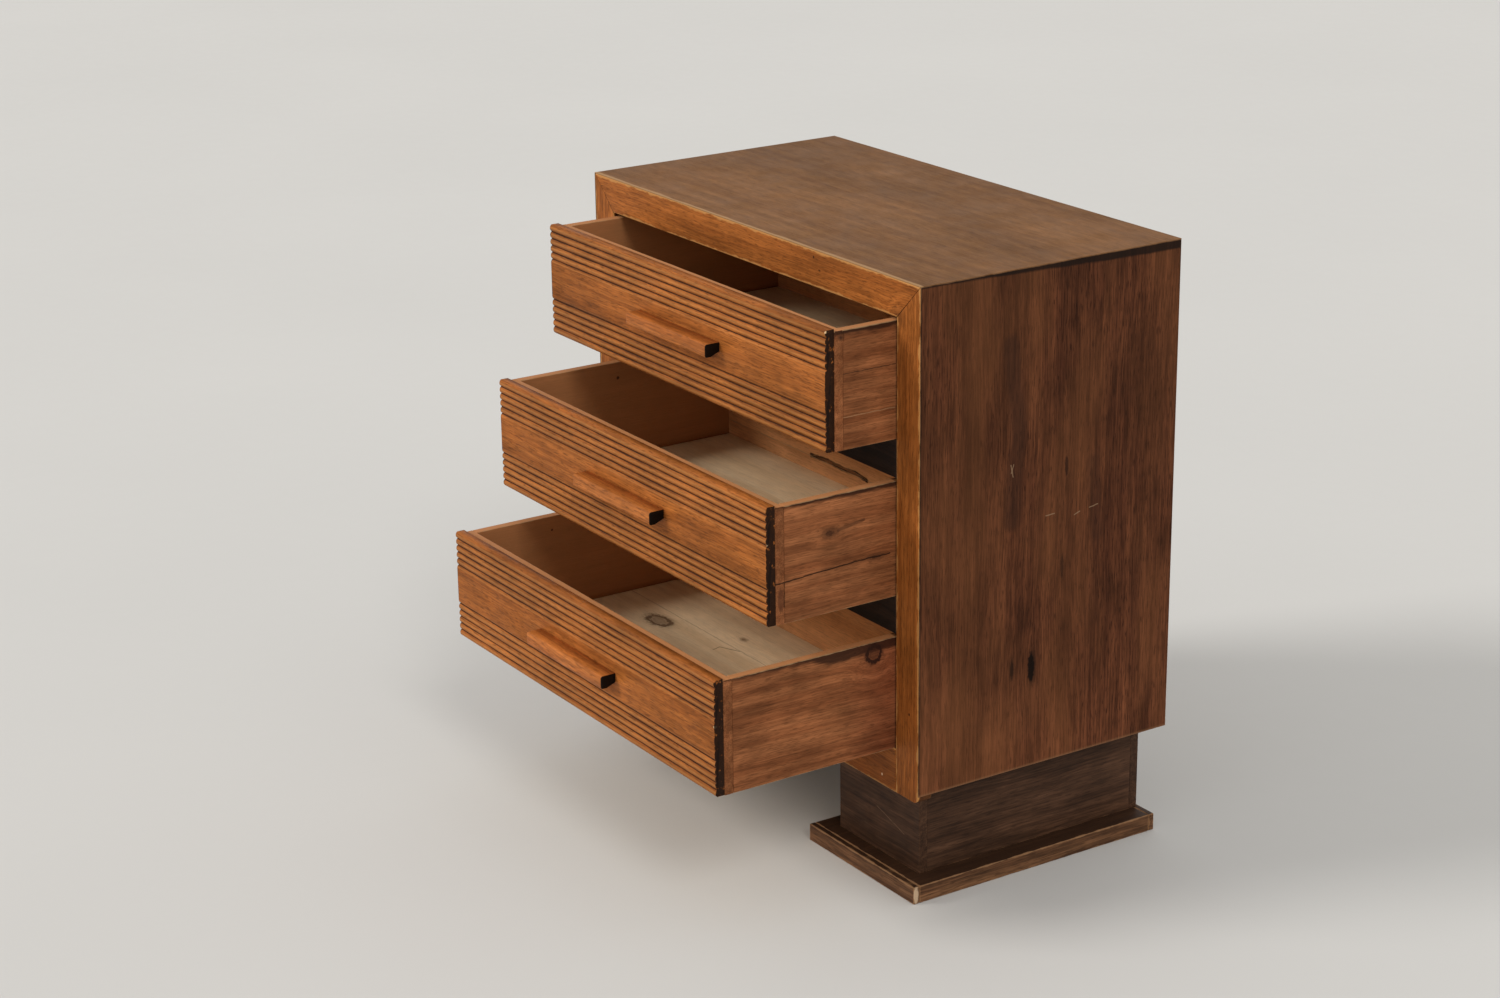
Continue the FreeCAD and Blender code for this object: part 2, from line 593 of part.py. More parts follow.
for step, drawer in enumerate(DRAWERS):
    home = ("0", f"{FRONT} - {drawer}_drawer_out", sill(step))

    facing = doc.addObject("PartDesign::Body", f"{drawer}_facing")
    low = "front_gap"
    high = f"{OPENING_HEIGHT} - front_gap"
    corners = [("0", low), ("facing_thickness", low), ("facing_thickness", high), ("0", high)]
    blank = outline(facing, f"{drawer}_facing_outline", "YZ_Plane", corners)
    pad(facing, blank, DRAWER_WIDTH, both_ways=True)
    reed_cut(facing, f"{drawer}_low", low, toward_top=True)
    reed_cut(facing, f"{drawer}_high", high, toward_top=False)
    spots = [(across, PULL_LEVEL) for across in PULL_SPOTS]
    screw_radius = "pull_screw / 2 + screw_play"
    pocket(facing, circles(facing, f"{drawer}_facing_holes", "XZ_Plane", screw_radius, spots))
    place(facing, home)
    keep(facing, f"{drawer}_facing")

    front_groove = block(
        f"{drawer}_front_groove",
        (
            f"{DRAWER_INSIDE} + 2 * groove_depth",
            f"groove_depth + {OVERCUT}",
            "drawer_bottom_thickness + groove_play",
        ),
        (f"-{DRAWER_INSIDE} / 2 - groove_depth", f"{BOX_START} - groove_depth", GROOVE_LEVEL),
    )
    front_cutters = [front_groove]
    for number, across in enumerate(PULL_SPOTS):
        start = (across, f"facing_thickness - {OVERCUT}", PULL_LEVEL)
        through = f"box_front_thickness + 2 * {OVERCUT}"
        front_cutters.append(hole(f"{drawer}_front_hole_{number}", "pull_screw", through, ALONG_Y, start))
    carved_board(
        f"{drawer}_box_front",
        (DRAWER_WIDTH, "box_front_thickness", BOX_HEIGHT),
        (f"-{DRAWER_WIDTH} / 2", "facing_thickness", "running_gap"),
        front_cutters,
        home,
    )

    for side, sign in SIDES.items():
        side_left = f"{DRAWER_INSIDE} / 2"
        groove_left = side_left
        if sign < 0:
            side_left = f"-{DRAWER_WIDTH} / 2"
            groove_left = f"-{DRAWER_INSIDE} / 2 - groove_depth"
        side_length = f"{DRAWER_DEPTH} - {BOX_START}"
        groove = block(
            f"{drawer}_{side}_groove",
            ("groove_depth", f"{side_length} + 2 * {OVERCUT}", "drawer_bottom_thickness + groove_play"),
            (groove_left, f"{BOX_START} - {OVERCUT}", GROOVE_LEVEL),
        )
        carved_board(
            f"{drawer}_{side}_side",
            ("drawer_side_thickness", side_length, BOX_HEIGHT),
            (side_left, BOX_START, "running_gap"),
            [groove],
            home,
        )

    board(
        f"{drawer}_back",
        (DRAWER_INSIDE, "drawer_back_thickness", f"running_gap + {BOX_HEIGHT} - {FLOOR_LEVEL}"),
        (
            f"-{DRAWER_INSIDE} / 2",
            f"{home[1]} + {DRAWER_DEPTH} - drawer_back_thickness",
            f"{home[2]} + {FLOOR_LEVEL}",
        ),
    )
    board(
        f"{drawer}_bottom",
        (
            f"{DRAWER_INSIDE} + 2 * groove_depth - 2 * groove_play",
            f"{DRAWER_DEPTH} - {BOX_START} + groove_depth - groove_play",
            "drawer_bottom_thickness",
        ),
        (
            f"groove_play - groove_depth - {DRAWER_INSIDE} / 2",
            f"{home[1]} + {BOX_START} - groove_depth + groove_play",
            f"{home[2]} + {GROOVE_LEVEL}",
        ),
    )

    pull = doc.addObject("PartDesign::Body", f"{drawer}_pull")
    corners = [
        ("0", "pull_height / 2"),
        ("-pull_reach", "pull_height / 2"),
        ("-pull_reach", "-pull_height / 2"),
        ("pull_lip - pull_reach", "-pull_height / 2"),
        ("0", "pull_undercut - pull_height / 2"),
    ]
    pad(pull, outline(pull, f"{drawer}_pull_outline", "YZ_Plane", corners), "pull_length", both_ways=True)
    reach = sheet.pull_reach
    round_edges(pull, "pull_rounding", lambda point: abs(point.y + reach) < 0.01)
    bar_spots = [(across, "0") for across in PULL_SPOTS]
    bar_holes = circles(pull, f"{drawer}_pull_holes", "XZ_Plane", screw_radius, bar_spots)
    pocket(pull, bar_holes, "pull_screw_bite", reverse=True)
    place(pull, (home[0], home[1], f"{home[2]} + {PULL_LEVEL}"))
    keep(pull, f"{drawer}_pull")

    pull_screws = []
    for number, across in enumerate(PULL_SPOTS):
        seat = (across, f"{home[1]} + {BOX_START}", f"{home[2]} + {PULL_LEVEL}")
        length = f"{BOX_START} + pull_screw_bite - screw_tip_room"
        pull_screws.append(screw(f"{drawer}_pull_screw_{number}", "pull_screw", length, AGAINST_Y, seat))
    keep(group(f"{drawer}_pull_screws", pull_screws), f"{drawer}_pull_screws")

doc.recompute()
for item in doc.Objects:
    if {"Invalid", "Error"} & set(item.State):
        raise RuntimeError(f"{item.Label} is {item.State}")
for item in pieces:
    if item.Shape.isNull() or not item.Shape.isValid():
        raise RuntimeError(f"{item.Label} has no valid shape")

os.makedirs("parts", exist_ok=True)
for item in pieces:
    item.Shape.exportStep(f"parts/{item.Label}.step")
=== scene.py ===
import json
import math
import zlib

import bpy
import numpy as np
from mathutils import Matrix, Vector, noise

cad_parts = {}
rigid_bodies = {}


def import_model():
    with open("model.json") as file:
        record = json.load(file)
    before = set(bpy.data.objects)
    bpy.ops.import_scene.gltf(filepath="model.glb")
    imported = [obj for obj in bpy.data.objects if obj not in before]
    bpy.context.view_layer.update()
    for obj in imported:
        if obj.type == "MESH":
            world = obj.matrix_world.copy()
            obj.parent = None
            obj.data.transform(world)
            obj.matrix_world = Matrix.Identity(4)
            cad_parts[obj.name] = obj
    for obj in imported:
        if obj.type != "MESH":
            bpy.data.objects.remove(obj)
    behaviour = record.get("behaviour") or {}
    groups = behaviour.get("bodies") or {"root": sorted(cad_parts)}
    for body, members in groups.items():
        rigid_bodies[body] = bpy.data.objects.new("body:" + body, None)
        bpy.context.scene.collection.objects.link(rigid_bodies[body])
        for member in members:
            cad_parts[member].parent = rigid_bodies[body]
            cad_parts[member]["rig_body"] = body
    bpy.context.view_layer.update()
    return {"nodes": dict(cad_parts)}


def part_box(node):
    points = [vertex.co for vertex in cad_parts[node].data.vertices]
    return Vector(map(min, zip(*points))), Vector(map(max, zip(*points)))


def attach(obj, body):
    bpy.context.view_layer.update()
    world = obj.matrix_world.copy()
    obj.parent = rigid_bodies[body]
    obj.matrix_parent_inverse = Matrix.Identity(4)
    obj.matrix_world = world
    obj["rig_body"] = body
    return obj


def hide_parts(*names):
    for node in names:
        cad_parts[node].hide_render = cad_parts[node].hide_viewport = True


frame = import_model()

# The boards of the case: sides, top and bottom of softwood, planed, glued together and left bare,
# because veneer and the front frame cover them. They show only inside, past an open drawer.
MM = 0.001


class Finish:
    """A surface built up in layers on one material: the wood first, then marks and wear, then gloss.

    Lengths are in millimetres. Where along is given, the grain runs along that axis of the chest;
    otherwise each board carries its own grain."""

    def __init__(self, name, along=None):
        self.material = bpy.data.materials.new(name)
        self.material.use_nodes = True
        self.tree = self.material.node_tree
        self.shader = self.tree.nodes["Principled BSDF"].inputs
        self.place = self.vector("DIVIDE", self.add("TexCoord").outputs["Object"], (MM, MM, MM))
        if along is None:
            self.grain = self.add("Attribute", attribute_name="grain").outputs["Vector"]
        else:
            parts = self.split(self.place)
            first = "XYZ".index(along)
            self.grain = self.add("CombineXYZ", *[parts[first - step] for step in range(3)]).outputs[0]
        self.colour = (0, 0, 0)
        self.relief = 0.0
        self.knots = []

    def feed(self, socket, value):
        if isinstance(value, bpy.types.NodeSocket):
            self.tree.links.new(value, socket)
        elif socket.type == "RGBA":
            socket.default_value = (*value, 1)
        else:
            socket.default_value = value

    def add(self, kind, *values, **settings):
        made = self.tree.nodes.new("ShaderNode" + kind)
        for key, value in settings.items():
            setattr(made, key, value)
        for socket, value in zip(made.inputs, values):
            self.feed(socket, value)
        return made

    def math(self, operation, *values):
        return self.add("Math", *values, operation=operation).outputs[0]

    def vector(self, operation, *values):
        made = self.add("VectorMath", *values, operation=operation)
        return made.outputs["Value" if operation in ("LENGTH", "DOT_PRODUCT") else "Vector"]

    def split(self, vector):
        return list(self.add("SeparateXYZ", vector).outputs)

    def measure(self, name):
        return self.add("Attribute", attribute_name=name).outputs["Fac"]

    def noise(self, where, size, detail=2.0):
        """A cloudy value about 0.5, with lumps of that size along each direction."""
        made = self.add("TexNoise")
        self.feed(made.inputs["Vector"], self.vector("DIVIDE", where, size))
        made.inputs["Scale"].default_value = 1
        made.inputs["Detail"].default_value = detail
        return made.outputs[0]

    def between(self, value, start, end):
        """Rises smoothly from 0 at start to 1 at end."""
        made = self.add("MapRange", value, start, end, interpolation_type="SMOOTHSTEP")
        return made.outputs[0]

    def mix(self, share, under, over, blend="MIX"):
        made = self.add("Mix", data_type="RGBA", blend_type=blend)
        for index, value in ((0, share), (6, under), (7, over)):
            self.feed(made.inputs[index], value)
        return made.outputs[2]

    def paint(self, mask, colour, strength=1.0):
        self.colour = self.mix(self.math("MULTIPLY", mask, strength), self.colour, colour)

    def tint(self, mask, colour):
        """A thin stain, through which the wood and its marks still show."""
        self.colour = self.mix(mask, self.colour, colour, "MULTIPLY")

    def shade(self, value, low, high):
        """Darkens or lightens the colour: times low where value is 0, times high where it is 1."""
        factor = self.math("MULTIPLY_ADD", value, high - low, low)
        self.colour = self.mix(1.0, self.colour, factor, "MULTIPLY")

    def lift(self, value, height):
        self.relief = self.math("MULTIPLY_ADD", value, height, self.relief)

    def knot(self, at, size, across, colour, strength=1.0, ringed=False):
        """A knot that the fibres bend round. Across is the axis of the chest at right angles to them.

        A ringed knot is paler inside its black rim; the others are dark all through."""
        offset = self.vector("SUBTRACT", self.place, at)
        far = self.vector("LENGTH", self.vector("DIVIDE", offset, size))
        near = self.math("EXPONENT", self.math("MULTIPLY", self.math("MULTIPLY", far, far), -0.16))
        aside = self.split(offset)["XYZ".index(across)]
        push = self.math("MULTIPLY", self.math("MULTIPLY", aside, near), -0.75 * strength)
        self.grain = self.vector("ADD", self.grain, self.add("CombineXYZ", 0, push, push).outputs[0])
        self.knots.append((far, colour, strength, ringed))

    def wood(self, late, early, ring=7, length=600, wander=12, fibre=0.3, pores=0.5, mottle=0.12, fine=1.0):
        """Growth rings, fibres, pores and mottle. Late is the dark part of a ring, early the pale part.

        Fine is the thickness of fibres and pores, 1 for a coarse board and less for a close one."""
        drift = self.noise(self.grain, (320, 90, 90))
        bend = self.math("MULTIPLY_ADD", drift, 2 * wander, -wander)
        lines = self.vector("ADD", self.grain, self.add("CombineXYZ", 0, bend, bend).outputs[0])
        rings = self.noise(lines, (length, ring, ring), detail=4)
        threads = self.noise(lines, (75 * fine, 2.4 * fine, 2.4 * fine), detail=3)
        vessels = self.noise(self.grain, (17 * fine, 1.5 * fine, 1.5 * fine), detail=1)
        blotches = self.noise(self.grain, (26, 13, 13), detail=4)
        self.colour = self.mix(self.between(rings, 0.3, 0.7), late, early)
        self.shade(self.between(threads, 0.28, 0.72), 1 - fibre, 1 + fibre)
        self.shade(self.between(blotches, 0.3, 0.7), 1 - mottle, 1 + mottle)
        open_pores = self.between(vessels, 0.54, 0.68)
        self.paint(open_pores, [0.4 * part for part in late], pores)
        self.lift(threads, 0.08)
        self.lift(open_pores, -0.06)
        for far, colour, strength, ringed in self.knots:
            rough = self.math("MULTIPLY_ADD", self.noise(self.place, (4, 4, 4)), 0.8, far)
            hoops = self.math("SINE", self.math("MULTIPLY", rough, 9))
            rim = self.math("ABSOLUTE", self.math("SUBTRACT", rough, 1.3))
            self.paint(self.between(rough, 2.4, 1.2), colour, 0.4 * strength)
            self.paint(self.between(rough, 1.4, 0.7), colour, 0.45 * strength if ringed else strength)
            self.paint(self.between(rim, 0.3, 0.1), colour, strength if ringed else 0.3 * strength)
            self.paint(self.math("MULTIPLY", self.between(rough, 2.4, 1.4), hoops), colour, 0.3 * strength)

    def clouds(self, size, low, high, detail=3.0):
        """Patches that took the stain unevenly."""
        patches = self.noise(self.grain, size, detail)
        self.shade(self.between(patches, 0.3, 0.7), low, high)

    def rub(self, colour, width, strength=1.0, measure="arris"):
        """The finish rubbed through along the arrises, or near the ends."""
        ragged = self.noise(self.place, (16, 16, 16), detail=4)
        reach = self.math("MULTIPLY", self.between(ragged, 0.2, 0.8), 2 * width)
        share = self.math("DIVIDE", self.measure(measure), self.math("ADD", reach, 0.05))
        self.paint(self.between(share, 1.0, 0.35), colour, strength)

    def from_line(self, points):
        """How far a place lies from a line through the points."""
        shake = self.vector("SUBTRACT", self.noise_vector((9, 9, 9)), (0.5, 0.5, 0.5))
        where = self.vector("ADD", self.place, self.vector("MULTIPLY", shake, (2.4, 2.4, 2.4)))
        nearest = None
        for start, end in zip(points, points[1:]):
            run = Vector(end) - Vector(start)
            offset = self.vector("SUBTRACT", where, start)
            share = self.vector("DOT_PRODUCT", offset, tuple(run / run.length_squared))
            share = self.add("Clamp", share).outputs[0]
            share = self.add("CombineXYZ", share, share, share).outputs[0]
            along = self.vector("MULTIPLY", tuple(run), share)
            far = self.vector("LENGTH", self.vector("SUBTRACT", offset, along))
            nearest = far if nearest is None else self.math("MINIMUM", nearest, far)
        return nearest

    def noise_vector(self, size):
        made = self.add("TexNoise")
        self.feed(made.inputs["Vector"], self.vector("DIVIDE", self.place, size))
        made.inputs["Scale"].default_value = 1
        return made.outputs["Color"]

    def patch(self, at, size, colour, strength=1.0):
        """A ragged spot: a nail hole, a chip or a splintered place."""
        far = self.vector("LENGTH", self.vector("DIVIDE", self.vector("SUBTRACT", self.place, at), size))
        ragged = self.math("MULTIPLY_ADD", self.noise(self.place, (5, 5, 5), 3), 0.8, far)
        self.paint(self.between(ragged, 1.5, 1.1), colour, strength)

    def line(self, points, width, colour, strength=1.0, depth=0.0):
        """A crack, a joint or a scratch."""
        mask = self.between(self.from_line(points), width, 0.35 * width)
        self.paint(mask, colour, strength)
        self.lift(mask, -depth)

    def close(self, roughness, unevenness=0.08, shine=0.2):
        """Joins the layers to the shader."""
        dull = self.noise(self.place, (38, 38, 38), detail=3)
        self.feed(self.shader["Base Color"], self.colour)
        rough = self.math("MULTIPLY_ADD", dull, 4 * unevenness, roughness - 2 * unevenness)
        self.feed(self.shader["Roughness"], rough)
        self.shader["Specular IOR Level"].default_value = shine
        bump = self.add("Bump")
        bump.inputs["Distance"].default_value = MM
        self.feed(bump.inputs["Height"], self.relief)
        self.feed(self.shader["Normal"], bump.outputs[0])
        return self


def bare_softwood(name, along):
    softwood = Finish(name, along)
    softwood.wood(late=(0.17, 0.088, 0.04), early=(0.3, 0.18, 0.09), ring=9)
    softwood.clouds((260, 60, 60), 0.65, 1.1)
    return softwood.close(roughness=0.72)


def dress(node, finish):
    """Gives a piece of the frame its finish and takes the sharpness off its edges."""
    piece = frame["nodes"][node]
    for slot in piece.material_slots:
        slot.material = finish.material
    weld = piece.modifiers.new("one skin", "WELD")
    weld.merge_threshold = 0.01 * MM
    eased = piece.modifiers.new("eased edges", "BEVEL")
    eased.width = 0.6 * MM
    eased.segments = 2
    eased.limit_method = "ANGLE"


upright_board = bare_softwood("bare_board_upright", "Z")
cross_board = bare_softwood("bare_board_across", "X")
for side in ("left", "right"):
    dress(f"{side}_side_panel", upright_board)
for level in ("top", "bottom"):
    dress(f"{level}_panel", cross_board)

# What carries and guides the drawers: runners, side guides, kickers over the top drawer and stops at
# the back, all hardwood strips glued and pinned to the sides, worn smooth by the drawers.
strip_wood = Finish("runner_hardwood", "Y")
strip_wood.wood(late=(0.2, 0.105, 0.045), early=(0.34, 0.2, 0.095), ring=5, pores=0.3)
strip_wood.clouds((120, 20, 20), 0.7, 1.1)
strip_wood.close(roughness=0.55)
for level in ("upper", "middle", "lower"):
    for side in ("left", "right"):
        dress(f"{level}_{side}_runner", strip_wood)
for node in ("drawer_guides", "top_kickers", "drawer_stops"):
    dress(node, strip_wood)

# The back: one sheet of thin plywood let into the sides and screwed on, stained thinly on the outside.
# The screws, like all those of the chest, are slotted and of plain steel, spotted with rust.
NEAR_ARRIS = (0, 0.35, 0.8, 1.5, 2.6)
WEAR_LENGTH = 22.0
WAVE_LENGTH = 45.0
GRAIN_REACH = 2000


def rows(low, high, step, more=()):
    """Where the lines of a board's mesh lie along one edge: crowded at both arrises."""
    edge = [near for near in NEAR_ARRIS if near < 0.4 * (high - low)]
    inner = high - low - 2 * edge[-1]
    count = max(1, round(inner / step))
    middle = [low + edge[-1] + inner * place / count for place in range(1, count)]
    at_low = [low + near for near in edge]
    at_high = [high - near for near in edge]
    return np.array(sorted([*at_low, *middle, *at_high, *more]))


def box_shell(lines):
    """Points and faces of a box whose mesh lines lie at the given places along X, Y and Z."""
    counts = [len(line) for line in lines]
    index = np.indices(counts).reshape(3, -1).T
    index = index[((index == 0) | (index == np.array(counts) - 1)).any(axis=1)]
    number = np.zeros(counts, int)
    number[tuple(index.T)] = np.arange(len(index))
    points = np.stack([lines[axis][index[:, axis]] for axis in range(3)], axis=1)
    faces = []
    for axis in range(3):
        for end, outward in ((0, axis == 1), (-1, axis != 1)):
            sheet = np.take(number, end, axis=axis)
            quads = np.stack([sheet[:-1, :-1], sheet[1:, :-1], sheet[1:, 1:], sheet[:-1, 1:]], axis=-1)
            quads = quads.reshape(-1, 4)
            faces.append(quads if outward else quads[:, ::-1])
    return points, np.concatenate(faces)


def lumps(points, size, seed):
    """Uneven values from 0 to 1 over the points, with lumps of that size."""
    shift = Vector((seed % 97, seed % 89, seed % 83))
    return np.array([0.5 + 0.5 * noise.noise(Vector(point) / size + shift) for point in points])


def worn_board(corners, grain, seed, round_by=0.9, step=9.0, wave=0.12, more=((), (), ()), butted=False):
    """One board with softened arrises and slightly uneven faces, never outside the corners.

    The ends of a butted board meet its neighbours, so they aren't rubbed."""
    low, high = (np.array(corner) for corner in corners)
    lines = [rows(low[axis], high[axis], step, more[axis]) for axis in range(3)]
    points, faces = box_shell(lines)
    half = (high - low) / 2
    offset = points - (low + high) / 2
    depth = half - np.abs(offset)
    radius = round_by * (0.55 + 0.9 * lumps(points, WEAR_LENGTH, seed))
    radius = np.minimum(radius, 0.45 * half.min())[:, None]
    core = np.clip(offset, radius - half, half - radius)
    lean = offset - core
    sunk = wave * lumps(points, WAVE_LENGTH, seed + 1)[:, None]
    worn = core + lean / np.linalg.norm(lean, axis=1)[:, None] * np.maximum(radius - sunk, 0.2 * radius)
    first = "XYZ".index(grain)
    others = sorted({0, 1, 2} - {first}, key=lambda axis: -half[axis])
    shift = np.random.default_rng(seed).uniform(-GRAIN_REACH, GRAIN_REACH, 3)
    return {
        "points": worn + (low + high) / 2,
        "faces": faces,
        "grain": offset[:, [first, *others]] + shift,
        "arris": np.sort(depth[:, others] if butted else depth, axis=1)[:, 1],
        "end": depth[:, first],
    }


def join(parts):
    """Several boards as one piece."""
    joined = {key: np.concatenate([part[key] for part in parts]) for key in parts[0] if key != "faces"}
    starts = np.cumsum([0] + [len(part["points"]) for part in parts[:-1]])
    joined["faces"] = []
    for part, start in zip(parts, starts):
        joined["faces"] += [np.array(face) + start for face in part["faces"]]
    return joined


def fit(part, node, finish):
    """Makes a piece of the part's mesh and puts it where the node is, on the body that carries the node."""
    name = f"worn_{node}"
    mesh = bpy.data.meshes.new(name)
    mesh.from_pydata((part["points"] * MM).tolist(), [], [list(map(int, face)) for face in part["faces"]])
    mesh.polygons.foreach_set("use_smooth", [True] * len(mesh.polygons))
    for key, values in part.items():
        if key not in ("points", "faces"):
            kind, field = ("FLOAT_VECTOR", "vector") if values.ndim == 2 else ("FLOAT", "value")
            layer = mesh.attributes.new(key, kind, "POINT")
            layer.data.foreach_set(field, values.astype(np.float32).ravel())
    mesh.materials.append(finish.material)
    piece = bpy.data.objects.new(name, mesh)
    bpy.context.scene.collection.objects.link(piece)
    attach(piece, frame["nodes"][node]["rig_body"])
    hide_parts(node)
    return piece


def corners_of(node):
    """A node's lowest and highest corner in millimetres."""
    return [np.array(corner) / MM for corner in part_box(node)]


def seed_of(name):
    return zlib.crc32(name.encode()) % 100000


def fit_board(node, grain, finish, slot, reshape=None, **how):
    part = worn_board(corners_of(node), grain, seed_of(node), **how)
    if reshape:
        part["points"] = reshape(part["points"])
    return fit(part, node, finish)


back_ply = Finish("back_plywood")
back_ply.wood(late=(0.15, 0.075, 0.034), early=(0.25, 0.14, 0.068), ring=26, length=700)
back_ply.clouds((300, 90, 90), 0.6, 1.1)
back_ply.rub((0.34, 0.21, 0.11), width=1.4, strength=0.7)
back_ply.close(roughness=0.7)
fit_board("back_panel", "X", back_ply, "back_board", step=14.0)

steel = Finish("screw_steel", "Z")
steel.colour = (0.32, 0.29, 0.26)
steel.paint(steel.between(steel.noise(steel.place, (3, 3, 3), 4), 0.45, 0.65), (0.11, 0.055, 0.03), 0.8)
steel.shader["Metallic"].default_value = 0.9
steel.close(roughness=0.45)
AROUND = 24
SLOT_WIDTH = 0.28
SLOT_DEPTH = 0.3
SCREW_APART = 12
HEAD_HEIGHT = 0.6
HALF_HEAD = ((0.8, 0), (1, 0.12), (1, SLOT_DEPTH))


def skin(levels):
    """A closed solid over outlines that lie one above another, each with as many points as the next."""
    count = len(levels[0])
    faces = [list(range(count))[::-1], [(len(levels) - 1) * count + spot for spot in range(count)]]
    for start in range(0, (len(levels) - 1) * count, count):
        for spot in range(count):
            after = (spot + 1) % count
            faces.append([start + spot, start + after, start + count + after, start + count + spot])
    return {"points": np.concatenate(levels), "faces": faces}


def arc(radius, height, start=0.0, end=2 * math.pi * (1 - 1 / AROUND)):
    turn = np.linspace(start, end, AROUND)
    return np.stack([radius * np.cos(turn), radius * np.sin(turn), np.full(AROUND, height)], axis=1)


def slotted_screw(size, length):
    """A screw of that diameter, its shank along Z from 0 to length and its head, twice as wide, below 0."""
    top, floor = -HEAD_HEIGHT * size, (SLOT_DEPTH - HEAD_HEIGHT) * size
    shank = [arc(0.5 * size, 0), arc(0.5 * size, 0.8 * length), arc(0.15 * size, length)]
    base = [arc(size, floor), arc(size, -0.1 * size), arc(0.95 * size, 0)]
    solids = [skin(shank), skin(base)]
    lean = math.asin(SLOT_WIDTH / 2)
    for start in (lean, math.pi + lean):
        end = start + math.pi - 2 * lean
        half = [arc(size * wide, top + size * down, start, end) for wide, down in HALF_HEAD]
        side = np.sign(math.sin((start + end) / 2))
        for level in half:
            level[:, 1] = side * np.maximum(np.abs(level[:, 1]), SLOT_WIDTH / 2 * size)
        solids.append(skin(half))
    return join(solids)


def fit_screws(node, axis):
    """Puts a slotted screw, its slot at some angle, in the place of each plain one of the node."""
    axis = "XYZ".index(axis)
    across = [axis - 2, axis - 1]
    points = np.array([vertex.co for vertex in frame["nodes"][node].data.vertices]) / MM
    random = np.random.default_rng(seed_of(node))
    screws = []
    while len(points):
        near = np.linalg.norm((points - points[0])[:, across], axis=1) < SCREW_APART
        plain, points = points[near], points[~near]
        low, high = plain.min(axis=0), plain.max(axis=0)
        middle = (low + high) / 2
        size = (high - low)[across[0]] / 2
        wide = np.linalg.norm((plain - middle)[:, across], axis=1) > 0.8 * size
        head_end = plain[wide, axis].mean() > middle[axis]
        ahead = -1 if head_end else 1
        seat = (high if head_end else low)[axis] + ahead * HEAD_HEIGHT * size
        made = slotted_screw(size, high[axis] - low[axis] - HEAD_HEIGHT * size)
        turn = random.uniform(0, math.pi)
        side, along, deep = made["points"].T
        placed = np.empty_like(made["points"])
        placed[:, across[0]] = middle[across[0]] + ahead * (side * math.cos(turn) - along * math.sin(turn))
        placed[:, across[1]] = middle[across[1]] + side * math.sin(turn) + along * math.cos(turn)
        placed[:, axis] = seat + ahead * deep
        screws.append({"points": placed, "faces": made["faces"]})
    return fit(join(screws), node, steel)


fit_screws("back_screws", "Y")

# The veneers: one thin dark sheet on each side with upright grain, and one on the top with its grain
# along the width, glued over the boards and flush with the frame. The top's front arris is rubbed pale.
side_veneer = Finish("side_veneer")
side_low, side_high = corners_of("right_side_veneer")
side_face = side_high[0]
side_veneer.knot((side_face, -22, 264), (3.0, 4.4, 19), "Y", (0.008, 0.004, 0.003))
side_veneer.knot((side_face, -52, 268), (2.5, 3.2, 13), "Y", (0.014, 0.007, 0.004), 0.7)
side_late, side_early = (0.077, 0.0248, 0.011), (0.12, 0.04, 0.017)
side_veneer.wood(side_late, side_early, ring=11, fibre=0.38, pores=0.8, mottle=0.12, fine=0.9)
side_y, side_z = side_veneer.split(side_veneer.place)[1:]
frontward = side_veneer.between(side_y, side_high[1], side_low[1])
glow = side_veneer.noise(side_veneer.grain, (240, 70, 70), 5)
glow = side_veneer.math("MULTIPLY_ADD", frontward, 0.12, glow)
side_veneer.paint(side_veneer.between(glow, 0.4, 0.8), (0.17, 0.063, 0.023), 0.5)
murk = side_veneer.noise(side_veneer.grain, (150, 48, 48), 5)
side_veneer.shade(side_veneer.between(murk, 0.3, 0.62), 0.7, 1.08)
smoke = (0.035, 0.015, 0.009)
side_veneer.line([(side_face, -60, 660), (side_face, -47, 560), (side_face, -56, 450)], 16, smoke, 0.5)
side_veneer.line([(side_face, 62, 500), (side_face, 70, 410)], 13, smoke, 0.35)
side_veneer.patch((side_face, -24, 264), (4, 5.2, 20), (0.006, 0.003, 0.002), 0.95)
side_veneer.patch((side_face, -52, 267), (4, 2.8, 13), (0.015, 0.007, 0.004), 0.65)
side_veneer.patch((side_face, 23, 502), (4, 2.6, 13), (0.012, 0.006, 0.004), 0.65)
side_veneer.patch((side_face, 19, 380), (4, 2.6, 16), (0.02, 0.01, 0.006), 0.5)
side_veneer.shade(side_veneer.between(side_z, 420, side_low[2]), 0.94, 1.25)
rearward = side_veneer.between(side_y, side_low[1], side_high[1])
below_top = side_veneer.math("SUBTRACT", side_high[2], side_z)
ragged = side_veneer.noise(side_veneer.place, (30, 30, 6), 3)
band = side_veneer.math("MULTIPLY_ADD", rearward, 8, side_veneer.math("MULTIPLY", ragged, 3.0))
past_band = side_veneer.math("SUBTRACT", below_top, band)
side_veneer.paint(side_veneer.between(past_band, 2.0, -1.0), (0.012, 0.007, 0.005), 0.9)
# Painted shade down the veneer's front edge beside the stile, over the glue line there.
from_front = side_veneer.math("SUBTRACT", side_y, side_low[1])
side_veneer.paint(side_veneer.between(from_front, 2.6, 0.4), (0.012, 0.006, 0.004), 0.85)
side_veneer.paint(side_veneer.between(side_z, side_low[2] + 4, side_low[2]), (0.26, 0.13, 0.062), 0.55)
side_veneer.rub((0.28, 0.14, 0.07), width=0.5, strength=0.6)
scratches = [
    ((-58, 518), (-54, 503)),
    ((-54, 518), (-57, 508)),
    ((-6, 447), (7, 448)),
    ((36, 440), (44, 443)),
    ((58, 445), (70, 446.5)),
]
for start, end in scratches:
    side_veneer.line([(side_face, *start), (side_face, *end)], 0.9, (0.3, 0.19, 0.11), 0.7)
side_veneer.close(roughness=0.5, shine=0.05)
